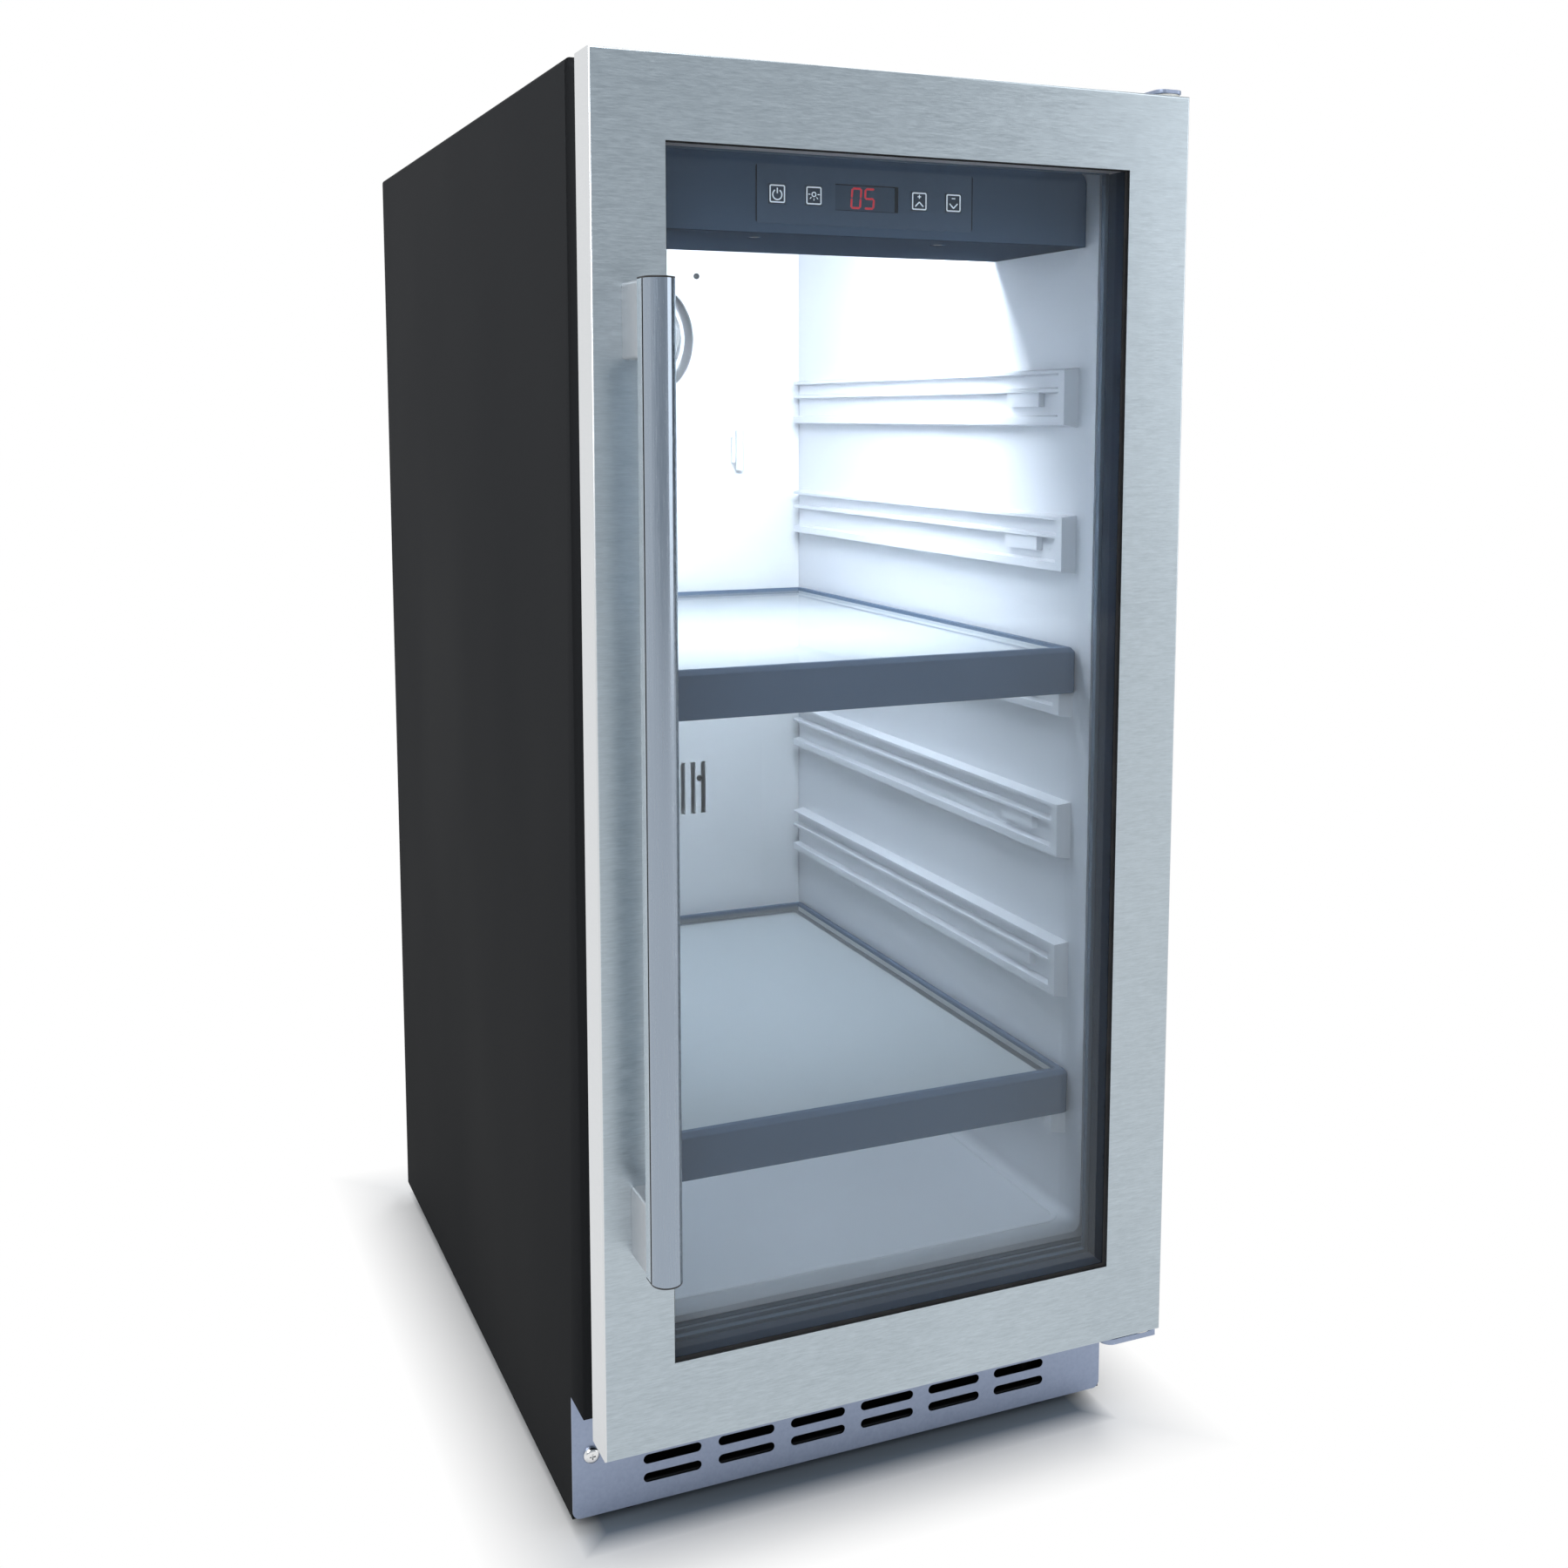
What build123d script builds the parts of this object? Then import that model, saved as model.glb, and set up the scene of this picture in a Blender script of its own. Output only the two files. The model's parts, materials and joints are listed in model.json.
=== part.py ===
from build123d import *
import os

# Under-counter glass-door drinks fridge, made as the separate pieces it is assembled from.
# Millimetres, +X right, +Y back, +Z up. The origin is on the floor, under the middle of the overall box.

os.makedirs("parts", exist_ok=True)

# Overall sizes
cabinet_width = 380
cabinet_height = 870
cabinet_depth = 548
foot_height = 10  # floor to the underside of the cabinet
toe_height = 80  # toe recess under the door
toe_setback = 26
door_drop = 2  # door hangs this far below the toe recess's ceiling
door_top_gap = 2  # door top below the cabinet top
door_standoff = 44  # door front ahead of the cabinet front
handle_reach = 44  # handle front ahead of the door front

# Sheets, walls and clearances
sheet = 0.8
heavy_sheet = 1.2
bend_radius = 3
front_flange = 10
liner_wall = 1.5
moulding = 2.5
fit = 0.2  # between fixed neighbours
seat = 0.3  # under a moving piece that rests on its seat
running = 0.05  # radial, pin in bush and shaft in bearing

# Inside of the cabinet
side_wall = 35  # outer side to inner face of the liner
top_wall = 40
floor_height = 138  # cabinet underside to liner floor
rear_recess = 3  # rear panel inside the rear edges, so its beads stay flush
bead_count = 5
bead_width = 12
bead_margin = 60
bead_draft = 40
rear_insulation = 35.5
floor_insulation = 36
step_height = 47  # liner floor rises over the compressor
step_depth = 221  # liner back to the face of that step
profile_cove = 6
side_cove = 6
lip_drop = 5  # floor falls to the mouth of the liner
lip_depth = 9
duct_depth = 39  # duct panel front to liner back
liner_clearance = 0.5  # duct panel and control housing inside the liner

# Shelf rails and shelves
rail_pitch = 95
rail_first = 93  # liner floor to the top of the lowest rail
rail_height = 38
rail_reach = 10
rail_draft = 8
rail_setback = 20  # cabinet front to the front end of the rails
rail_end = 9  # front of the rail to its channels
lip_thick = 3.4  # ledge that carries the shelf
upper_channel = 9.7
web_thick = 2.1  # ledge between the two channels
lower_channel = 16
channel_depth = 6
stop_from_end = 26  # end of the channels to the stop block under the web
stop_length = 42
stop_drop = 9.5
stop_reach = 4.5
upper_shelf_level = 3
shelf_setback = 14  # cabinet front to the front of the shelf trim
shelf_side_gap = 1
shelf_rear_gap = 6
rim_width = 13
rim_height = 9
skirt_drop = 21  # trim below the top of the rail
skirt_wall = 5
trim_chamfer = 3
trim_round = 4.5
glass_rest = 6  # ledge under the shelf glass
shelf_glass_thick = 4
shelf_glass_round = 2
shelf_glass_sink = 2.5  # glass top below the rim

# Control housing
housing_height = 48
housing_depth = 116
housing_setback = 14
housing_corner = 10
well_x = 62
well_setback = 26  # housing front to the screw wells in its underside
well_radius = 5
well_depth = 1.2
key_drop = 1  # keys below the middle of the housing front
key_width = 10.5
key_height = 11
key_spacing = 23.5
key_inner = 35  # middle to the inner keys
key_gap = 0.3
key_proud = 0.3
key_travel_room = 0.95
key_flange = 1
key_flange_lap = 1.2
key_bevel = 0.25
key_stem = 3
overlay_width = 144
overlay_height = 34
overlay_thick = 0.5
overlay_round = 2
display_width = 44
display_height = 17.5
display_depth = 7
display_recess = 1  # housing front to the display
display_lap = 1  # film over the display's edge
board_margin = 4.5  # board to the inside of the housing
board_thick = 1.6
post_inset = 4  # board edge to the middle of its posts
post_side = 6
switch_side = 6
switch_depth = 3
lamp_width = 240
lamp_height = 16
lamp_rise = 18  # housing underside to the middle of the lamp
lamp_proud = 1
lamp_wall = 2
lamp_tray = 6.5  # depth of the lamp cover inside the housing
led_count = 12
led_side = 5
led_rise = 1.2

# Door
skin_depth = 25
skin = 1.2
skin_round = 1.5
stile = 42.5
top_rail = 46
bottom_rail = 51.5
seal_thick = 0.6
seal_show = 2.5
pane = 4
pane_gap = 18
pane_lap = 12
spacer_wall = 9
door_body_depth = 32  # steel face to the back of the black inner frame
inner_frame_inset = 8
gasket_width = 20
gasket_offset = 2
gasket_neck = 9
gasket_foot = 2.5
magnet_depth = 5
dart_width = 5
dart_depth = 4

# Handle
handle_length = 548
handle_inset = 25.8  # door's left edge to the middle of the bar
bar_width = 17.8
bar_straight = 8.7  # flat side of the bar, behind its round front
bar_wall = 2.4
groove_width = 0.9  # shadow line between the flat side and the round front
groove_depth = 0.8
post_width = 17.6
post_height = 41
post_round = 2
cap_thick = 1

# Hinges
hinge_inset = 10  # right edge to the pivot
hinge_setback = 13  # door front to the pivot
hinge_front = 5  # door front to the front of the hinge plates
top_plate = 2.5
top_arm_width = 18
top_arm_round = 5
top_foot_width = 70
top_foot_depth = 42
top_foot_setback = 6
top_edge_gap = 1  # hinge plate to the cabinet's side
top_screws_at = ((10, 32), (36, 12), (58, 32))  # in from the plate's edge, back from its foot's front
bottom_plate = 4
bottom_plate_width = 39
bottom_plate_round = 8
bottom_gap = 3
bottom_leg = 26
bottom_screws_at = (8, 22)
bottom_screw_rise = 13
screw_head = 4.5
screw_head_depth = 2
pin_radius = 4
pin_reach = 10  # pin beyond the edge of the door
bush_radius = 7
bush_depth = 14
bush_flange = 2
bush_gap = 0.3

# Kick plate
slot_columns = 6
slot_pitch = 50
slot_length = 38.5
slot_height = 6.2
slot_rows = (16.1, 28.3)  # above the cabinet underside
kick_corner = 5
kick_return = 12
dome_screw_inset = 12
dome_screw_height = 40.6
dome_screw_radius = 5.5
dome_rise = 3.3

# Machine compartment
pan_rim = 14
cover_recess = 11
cover_lap = 6  # rear cover over the pan's rim
louvre_from_side = 110
louvre_count = 9
louvre_pitch = 11
louvre_width = 120
louvre_gap = 5
compressor_radius = 58
compressor_height = 124
crown_radius = 46
crown_rise = 12
terminal_width = 46
terminal_depth = 30
terminal_height = 40
terminal_lift = 20  # above the middle of the shell
terminal_sink = 4
port_offset = 36
port_root = 29  # compressor axis to the ends of its ports
port_length = 62
foot_plate = 3
shell_drop = 4  # shell below its foot plate
compressor_from_side = 100
compressor_from_back = 130
compressor_foot_x = 150
compressor_foot_y = 118
grommet_height = 12
grommet_radius = 9
coil_width = 170
coil_depth = 40
coil_height = 84
coil_from_side = 10
coil_from_kick = 44
coil_lift = 5  # coil above the base pan
coil_header = 8  # header down each end of a coil
coil_port_inset = 10.5  # top and bottom of the coil to its pipes
fin_pitch = 20
fin_gap = 14
fan_radius = 38
fan_clearance = 2
fan_from_coil = 3
condenser_hub = 14
condenser_motor_depth = 24
shroud_wall = 2
shroud_depth = 22  # coil to the motor strap
strap_height = 14
strap_leg = 45  # fan axis to the strap's legs
strap_boss = 22
tray_width = 120
tray_depth = 96
tray_height = 24
tray_draft = 6
tray_from_side = 12
tray_from_fan = 44
pipe_radius = 3
port_wall = 1
suction_run = 34
drier_radius = 9
drier_length = 76
drier_from_coil = 37
drier_behind_coil = 50
gland_from_side = 95
gland_rise = 42
gland_radius = 9
gland_neck = 7
gland_bore = 4
gland_flange = 5
gland_length = 12

# Evaporator and its fan
fan_below_ceiling = 90
grille_flange = 64
grille_opening = 55
grille_pitch = 9.6
grille_bar = 2.8
grille_thick = 3
grille_lip = 1  # grille's flange over the edge of the panel's opening
grille_spoke = 3
panel_raise = 3
panel_raise_margin = 36  # liner side to the raised middle of the duct panel
raise_foot = 20
raise_head = 6
raise_draft = 30
duct_corner = 9
evaporator_fan_radius = 48
evaporator_hub = 16
motor_radius = 19
motor_neck = 15
motor_depth = 13
bearing_depth = 7
shaft_radius = 2
shaft_length = 6
blade_count = 5
blade_depth = 15
blade_thick = 1.8
blade_root = 3  # blade inside its hub
blade_gap = 1  # blade to its motor
chord_share = 0.75  # blade width for each millimetre of radius
fan_pitch = 35
slot_from_step = 166  # step to the middle of the air slots
air_slot_count = 14
air_slot_pitch = 9.5
air_slot_width = 4.2
air_slot_length = 46
evaporator_height = 150
evaporator_width = 200
evaporator_depth = 24
sensor_from_edge = 24
sensor_drop = 30  # below the grille
sensor_radius = 3.5
sensor_length = 34
clip_width = 12
clip_depth = 3
clip_height = 22
clip_grip = 1

# Feet
foot_radius = 18
foot_pad = 6
foot_hexagon = 13
foot_stem = 5
foot_stem_length = 26
foot_inset_x = 42
foot_inset_front = 30  # kick plate to the front feet
foot_inset_back = 45

# Levels and planes worked out from the sizes above
half_width = cabinet_width / 2
inner_half = half_width - sheet
half_depth = (handle_reach + door_standoff + cabinet_depth) / 2
handle_front = -half_depth
door_front = handle_front + handle_reach
cabinet_front = door_front + door_standoff
cabinet_back = cabinet_front + cabinet_depth
kick_front = cabinet_front + toe_setback
base_z = foot_height
top_z = base_z + cabinet_height
toe_z = base_z + toe_height
pan_top = base_z + heavy_sheet
liner_half = half_width - side_wall
floor_z = base_z + floor_height
ceiling_z = top_z - top_wall
step_z = floor_z + step_height
mouth_z = floor_z - lip_drop
rear_face = cabinet_back - rear_recess  # outside of the rear panel
foam_back = rear_face - sheet
liner_back = foam_back - rear_insulation - liner_wall
step_y = liner_back - step_depth
duct_front = liner_back - duct_depth
low_bulkhead = floor_z - liner_wall - floor_insulation
high_bulkhead = step_z - liner_wall - floor_insulation
bulkhead_step = step_y + liner_wall + floor_insulation
flange_half = half_width - front_flange - fit
flange_top = top_z - front_flange - fit
flange_low = toe_z + 2 * front_flange
door_bottom = toe_z - door_drop
door_top = top_z - door_top_gap
window_half = half_width - stile
window_low = door_bottom + bottom_rail
window_high = door_top - top_rail
pane_half = window_half + pane_lap
pane_low = window_low - pane_lap
pane_high = window_high + pane_lap
pane_front = door_front + skin + seal_thick
spacer_front = pane_front + pane
inner_pane_front = spacer_front + pane_gap
inner_pane_back = inner_pane_front + pane
inner_frame_back = door_front + door_body_depth
gasket_inner = (liner_half + gasket_offset, mouth_z - gasket_offset, ceiling_z + gasket_offset)
pivot_x = half_width - hinge_inset
pivot_y = door_front + hinge_setback
bar_depth = bar_straight + bar_width / 2
post_length = handle_reach - bar_depth
handle_x = -half_width + handle_inset
handle_mid = (door_bottom + door_top) / 2
handle_low = handle_mid - handle_length / 2
handle_high = handle_mid + handle_length / 2
rail_front = cabinet_front + rail_setback
rail_back = duct_front - shelf_rear_gap
housing_front = cabinet_front + housing_setback
housing_back = housing_front + housing_depth
housing_top = ceiling_z - seat
housing_low = housing_top - housing_height
key_z = housing_low + housing_height / 2 - key_drop
board_front = housing_front + display_recess + display_depth
board_height = housing_height - 2 * (moulding + board_margin)
shelf_front = cabinet_front + shelf_setback
shelf_back = duct_front - shelf_rear_gap
shelf_half = liner_half - shelf_side_gap
fan_z = ceiling_z - fan_below_ceiling
bottom_plate_top = door_bottom - bottom_gap


def front_plane(y):
    """Plane facing the viewer, at this depth, with X to the right and Z up."""
    return Plane.XZ.offset(-y)


def save(piece, label):
    """Label a finished piece and write it."""
    piece.part.label = label
    export_step(piece.part, f"parts/{label}.step")


def grown(box, amount):
    """A (half width, low, high) outline grown all round."""
    half, low, high = box
    return (half + amount, low - amount, high + amount)


def panel(box, mode=Mode.ADD):
    """Upright rectangle, given as (half width, low, high), in the current front sketch."""
    half, low, high = box
    with Locations((0, low)):
        Rectangle(2 * half, high - low, align=(Align.CENTER, Align.MIN), mode=mode)


def ring(y, depth, outer, inner):
    """Rectangular ring from this depth backwards."""
    with BuildPart(mode=Mode.PRIVATE) as piece:
        with BuildSketch(front_plane(y)):
            panel(outer)
            panel(inner, Mode.SUBTRACT)
        extrude(amount=-depth)
    return piece.part


def round_bar(radius, length, mode=Mode.ADD):
    """Cylinder that runs backwards from the current location."""
    Cylinder(radius, length, rotation=(-90, 0, 0), align=(Align.CENTER, Align.CENTER, Align.MIN), mode=mode)


# Cabinet shell: both sides and the top folded from one sheet, with a return round the mouth
def folded_profile(width, height, corner):
    """Rectangle standing on its base line, with rounded top corners."""
    with BuildSketch(mode=Mode.PRIVATE) as profile:
        Rectangle(width, height, align=(Align.CENTER, Align.MIN))
        fillet(profile.vertices().group_by(Axis.Y)[-1], corner)
    return profile.sketch


with BuildPart() as cabinet_shell:
    with BuildSketch(front_plane(cabinet_front)):
        with Locations((0, base_z)):
            add(folded_profile(cabinet_width, cabinet_height, bend_radius))
            inner = folded_profile(cabinet_width - 2 * sheet, cabinet_height - sheet, bend_radius - sheet)
            add(inner, mode=Mode.SUBTRACT)
    extrude(amount=-cabinet_depth)
    with Locations((0, cabinet_front, base_z)):
        Box(
            cabinet_width,
            toe_setback + heavy_sheet,
            toe_height,
            align=(Align.CENTER, Align.MIN, Align.MIN),
            mode=Mode.SUBTRACT,
        )
    with BuildSketch(front_plane(cabinet_front)):
        with Locations((0, toe_z)):
            add(folded_profile(cabinet_width, cabinet_height - toe_height, bend_radius))
        panel((half_width - front_flange, toe_z, top_z - front_flange), Mode.SUBTRACT)
    extrude(amount=-sheet)
save(cabinet_shell, "cabinet_shell")

# Rear panel: flat sheet with upright pressed beads
with BuildPart() as rear_panel:
    with BuildSketch(front_plane(foam_back)):
        panel((inner_half - fit, high_bulkhead + fit, top_z - sheet - bend_radius))
    extrude(amount=-sheet)
    bead_length = top_z - high_bulkhead - 2 * bead_margin
    with BuildSketch(front_plane(rear_face)):
        with Locations((0, (top_z + high_bulkhead) / 2)):
            with GridLocations((2 * inner_half - 2 * bead_margin) / (bead_count - 1), 0, bead_count, 1):
                Rectangle(bead_width, bead_length)
    extrude(amount=-rear_recess, taper=bead_draft)
save(rear_panel, "rear_panel")


# Inner liner: vacuum-formed box with a raised step, coved corners, shelf rails and a front flange
def liner_view(grow, cove):
    """Side view of the liner: grow is 0 for the inside and the wall for the outside."""
    with BuildSketch(Plane.YZ, mode=Mode.PRIVATE) as view:
        with BuildLine():
            Polyline(
                (cabinet_front, mouth_z - grow),
                (cabinet_front + lip_depth, floor_z - grow),
                (step_y + grow, floor_z - grow),
                (step_y + grow, step_z - grow),
                (liner_back + grow, step_z - grow),
                (liner_back + grow, ceiling_z + grow),
                (cabinet_front, ceiling_z + grow),
                close=True,
            )
        make_face()
        if cove:
            fillet(view.vertices().filter_by(lambda v: v.X > cabinet_front + 2 * lip_depth), cove)
    return view.sketch


with BuildPart() as liner_block:
    extrude(liner_view(liner_wall, 0), amount=liner_half + liner_wall, both=True)

with BuildPart() as liner_void:
    extrude(liner_view(0, profile_cove), amount=liner_half, both=True)
    side_edges = liner_void.edges().filter_by(lambda e: abs(abs(e.center().X) - liner_half) < 0.01)
    fillet(side_edges.filter_by(lambda e: e.center().Y > cabinet_front + lip_depth / 4), side_cove)

rail_levels = 1 + int((housing_low - floor_z - rail_first - rail_pitch / 2) // rail_pitch)
rail_length = rail_back - rail_front
with BuildPart() as inner_liner:
    add(liner_block.part)
    add(liner_void.part, mode=Mode.SUBTRACT)
    add(
        ring(
            cabinet_front,
            liner_wall,
            (flange_half, flange_low, flange_top),
            (liner_half, mouth_z, ceiling_z),
        )
    )
    for level in range(rail_levels):
        rail_top = floor_z + rail_first + level * rail_pitch
        with BuildSketch(Plane.YZ.offset(-liner_half)):
            with Locations((rail_front, rail_top)):
                Rectangle(rail_length, rail_height, align=(Align.MIN, Align.MAX))
        extrude(amount=rail_reach, taper=rail_draft)
        upper_top = rail_top - lip_thick
        lower_top = upper_top - upper_channel - web_thick
        with BuildSketch(Plane.YZ.offset(rail_reach - liner_half)):
            for channel_top, channel in ((upper_top, upper_channel), (lower_top, lower_channel)):
                with Locations((rail_front + rail_end, channel_top)):
                    Rectangle(rail_length, channel, align=(Align.MIN, Align.MAX))
        extrude(amount=-channel_depth, taper=rail_draft, mode=Mode.SUBTRACT)
        stop_x = rail_reach - channel_depth - liner_half
        stop_y = rail_front + rail_end + stop_from_end
        with Locations((stop_x, stop_y, lower_top + web_thick)):
            Box(stop_reach, stop_length, stop_drop + web_thick, align=(Align.MIN, Align.MIN, Align.MAX))
    right_half = split(inner_liner.part, bisect_by=Plane.YZ, keep=Keep.BOTTOM, mode=Mode.PRIVATE)
with BuildPart() as whole_liner:
    add(right_half)
    mirror(about=Plane.YZ)
save(whole_liner, "inner_liner")

# Foam between the shell and the liner
foam_front = cabinet_front + liner_wall
with BuildPart() as foam_insulation:
    with BuildSketch(Plane.YZ):
        with BuildLine():
            Polyline(
                (foam_front, low_bulkhead),
                (bulkhead_step, low_bulkhead),
                (bulkhead_step, high_bulkhead),
                (foam_back, high_bulkhead),
                (foam_back, top_z - sheet),
                (foam_front, top_z - sheet),
                close=True,
            )
        make_face()
    extrude(amount=inner_half, both=True)
    top_edges = foam_insulation.edges().filter_by(Axis.Y).group_by(Axis.Z)[-1]
    chamfer(top_edges, bend_radius)
    add(liner_block.part, mode=Mode.SUBTRACT)
save(foam_insulation, "foam_insulation")

# Folded rail across the front, under the liner flange
with BuildPart() as lower_front_rail:
    rail_top_z = flange_low - fit
    with BuildSketch(Plane.YZ):
        with BuildLine():
            Polyline(
                (cabinet_front, toe_z),
                (kick_front, toe_z),
                (kick_front, toe_z + heavy_sheet),
                (cabinet_front + heavy_sheet, toe_z + heavy_sheet),
                (cabinet_front + heavy_sheet, rail_top_z),
                (cabinet_front, rail_top_z),
                close=True,
            )
        make_face()
    extrude(amount=half_width - front_flange - fit, both=True)
save(lower_front_rail, "lower_front_rail")

# Stepped sheet that closes the machine compartment's ceiling
with BuildPart() as compartment_bulkhead:
    with BuildSketch(Plane.YZ):
        with BuildLine():
            Polyline(
                (foam_front, low_bulkhead),
                (bulkhead_step, low_bulkhead),
                (bulkhead_step, high_bulkhead),
                (foam_back, high_bulkhead),
                (foam_back, high_bulkhead - sheet),
                (bulkhead_step + sheet, high_bulkhead - sheet),
                (bulkhead_step + sheet, low_bulkhead - sheet),
                (foam_front, low_bulkhead - sheet),
                close=True,
            )
        make_face()
    extrude(amount=inner_half - fit, both=True)
save(compartment_bulkhead, "compartment_bulkhead")

# Base pan with turned-up rims, and plain holes for the feet
kick_back = kick_front + heavy_sheet
foot_front_y = kick_back + foot_inset_front
foot_back_y = cabinet_back - foot_inset_back
foot_x = half_width - foot_inset_x
foot_places = {
    "front_left": (-foot_x, foot_front_y),
    "front_right": (foot_x, foot_front_y),
    "rear_left": (-foot_x, foot_back_y),
    "rear_right": (foot_x, foot_back_y),
}
pan_back = cabinet_back - cover_recess
pan_half = inner_half - fit
pan_length = pan_back - kick_back
with BuildPart() as base_pan:
    with Locations((0, kick_back, base_z)):
        Box(2 * pan_half, pan_length, pan_rim, align=(Align.CENTER, Align.MIN, Align.MIN))
    offset(amount=-heavy_sheet, openings=base_pan.faces().sort_by(Axis.Z)[-1:])
    with Locations([(x, y, base_z) for x, y in foot_places.values()]):
        Cylinder(
            foot_stem + seat,
            pan_rim,
            align=(Align.CENTER, Align.CENTER, Align.MIN),
            mode=Mode.SUBTRACT,
        )
save(base_pan, "base_pan")

# Levelling feet: moulded pad with an adjusting hexagon and a plain stem
for place, (x, y) in foot_places.items():
    with BuildPart() as levelling_foot:
        with Locations((x, y, 0)):
            Cylinder(foot_radius, foot_pad, align=(Align.CENTER, Align.CENTER, Align.MIN))
        with BuildSketch(Plane.XY.offset(foot_pad)):
            with Locations((x, y)):
                RegularPolygon(foot_hexagon, 6)
        extrude(amount=foot_height - foot_pad - seat)
        with Locations((x, y, 0)):
            Cylinder(foot_stem, foot_stem_length, align=(Align.CENTER, Align.CENTER, Align.MIN))
    save(levelling_foot, f"levelling_foot_{place}")

# Slotted kick plate with a turned-back top edge, held by two dome screws
dome_sphere = (dome_screw_radius**2 + dome_rise**2) / (2 * dome_rise)
dome_x = half_width - dome_screw_inset
with BuildPart() as kick_plate:
    with BuildSketch(front_plane(kick_front)) as plate_view:
        panel((half_width, base_z, toe_z - fit))
        fillet(plate_view.vertices().group_by(Axis.Y)[0], kick_corner)
        for row in slot_rows:
            with Locations((0, base_z + row)):
                with GridLocations(slot_pitch, 0, slot_columns, 1):
                    SlotOverall(slot_length, slot_height, mode=Mode.SUBTRACT)
    extrude(amount=-heavy_sheet)
    with Locations((0, kick_back, toe_z - fit)):
        Box(
            2 * (inner_half - fit),
            kick_return,
            heavy_sheet,
            align=(Align.CENTER, Align.MIN, Align.MAX),
        )
save(kick_plate, "kick_plate")

with BuildPart() as kick_plate_screws:
    for x in (-dome_x, dome_x):
        with Locations((x, kick_front + dome_sphere - dome_rise, base_z + dome_screw_height)):
            Sphere(dome_sphere)
    split(bisect_by=front_plane(kick_front), keep=Keep.TOP)
save(kick_plate_screws, "kick_plate_screws")

# Rear cover of the machine compartment, with louvres and a hole for the cord gland
cover_low = base_z + pan_rim - cover_lap
cover_high = high_bulkhead - sheet - fit
louvre_x = half_width - louvre_from_side
gland_x = -half_width + gland_from_side
gland_z = cover_low + gland_rise
with BuildPart() as rear_cover:
    with BuildSketch(front_plane(pan_back)):
        panel((inner_half - fit, cover_low, cover_high))
        with Locations((louvre_x, (cover_low + cover_high) / 2)):
            with GridLocations(0, louvre_pitch, 1, louvre_count):
                Rectangle(louvre_width, louvre_gap, mode=Mode.SUBTRACT)
        with Locations((gland_x, gland_z)):
            Circle(gland_neck + fit, mode=Mode.SUBTRACT)
    extrude(amount=-heavy_sheet)
save(rear_cover, "rear_cover")

# Cord gland: flanged bush, its bore left empty
flange_seat = pan_back + heavy_sheet
with BuildPart() as cord_gland:
    with Locations((gland_x, flange_seat, gland_z)):
        round_bar(gland_radius, gland_flange)
    with Locations((gland_x, flange_seat - gland_length, gland_z)):
        round_bar(gland_neck, gland_length)
        round_bar(gland_bore, gland_length + gland_flange, Mode.SUBTRACT)
save(cord_gland, "cord_gland")

# Compressor: welded hermetic shell on a foot plate, with its terminal cover
compressor_x = half_width - compressor_from_side
compressor_y = cabinet_back - compressor_from_back
foot_plate_z = pan_top + grommet_height
shell_low = foot_plate_z - shell_drop
shell_high = shell_low + compressor_height
port_radius = pipe_radius + port_wall
port_level = pan_top + coil_lift + coil_height - coil_port_inset
terminal_z = (shell_low + shell_high) / 2 + terminal_lift
with BuildPart() as compressor:
    with Locations((0, 0, shell_low)):
        Cylinder(compressor_radius, compressor_height, align=(Align.CENTER, Align.CENTER, Align.MIN))
    with Locations((0, 0, shell_high - crown_rise)):
        Cylinder(crown_radius, 2 * crown_rise, align=(Align.CENTER, Align.CENTER, Align.MIN))
    with Locations((-compressor_radius + terminal_sink, 0, terminal_z)):
        Box(
            terminal_depth,
            terminal_width,
            terminal_height,
            align=(Align.MAX, Align.CENTER, Align.CENTER),
        )
    with BuildSketch(Plane.XY.offset(foot_plate_z)):
        Rectangle(compressor_foot_x + 2 * grommet_radius, compressor_foot_y + 2 * grommet_radius)
    extrude(amount=foot_plate)
    port_align = (Align.CENTER, Align.CENTER, Align.MIN)
    with Locations((-port_root, port_offset, port_level)):
        Cylinder(port_radius, port_length, rotation=(0, -90, 0), align=port_align)
    with Locations((-port_offset, -port_root, port_level)):
        Cylinder(port_radius, port_length, rotation=(90, 0, 0), align=port_align)
compressor.part.locate(Location((compressor_x, compressor_y, 0)))
save(compressor, "compressor")

# Rubber grommets under the compressor's foot plate
with BuildPart() as compressor_grommets:
    with Locations((compressor_x, compressor_y, pan_top)):
        with GridLocations(compressor_foot_x, compressor_foot_y, 2, 2):
            Cylinder(grommet_radius, grommet_height, align=(Align.CENTER, Align.CENTER, Align.MIN))
save(compressor_grommets, "compressor_grommets")


# Finned coil: comb of fins between two end plates, with a header down each end
def finned_coil(width, depth, height):
    """Coil centred on its own axis, with its headers at both ends and its fins open to the front."""
    block = width - 2 * coil_header
    with BuildPart(mode=Mode.PRIVATE) as coil:
        Box(block, depth, height)
        with Locations((0, -depth / 2, 0)):
            with GridLocations(fin_pitch, 0, int(block // fin_pitch), 1):
                Box(fin_gap, depth - 2 * coil_header, height, mode=Mode.SUBTRACT)
        for side in (-1, 1):
            with Locations((side * block / 2, 0, 0)):
                Box(2 * coil_header, coil_header, height - coil_header)
    return coil.part


coil_x = -half_width + coil_from_side + coil_width / 2
coil_y = kick_back + coil_from_kick + coil_depth / 2
coil_z = pan_top + coil_lift + coil_height / 2
with BuildPart() as condenser_coil:
    with Locations((coil_x, coil_y, coil_z)):
        add(finned_coil(coil_width, coil_depth, coil_height))
save(condenser_coil, "condenser_coil")

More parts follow.
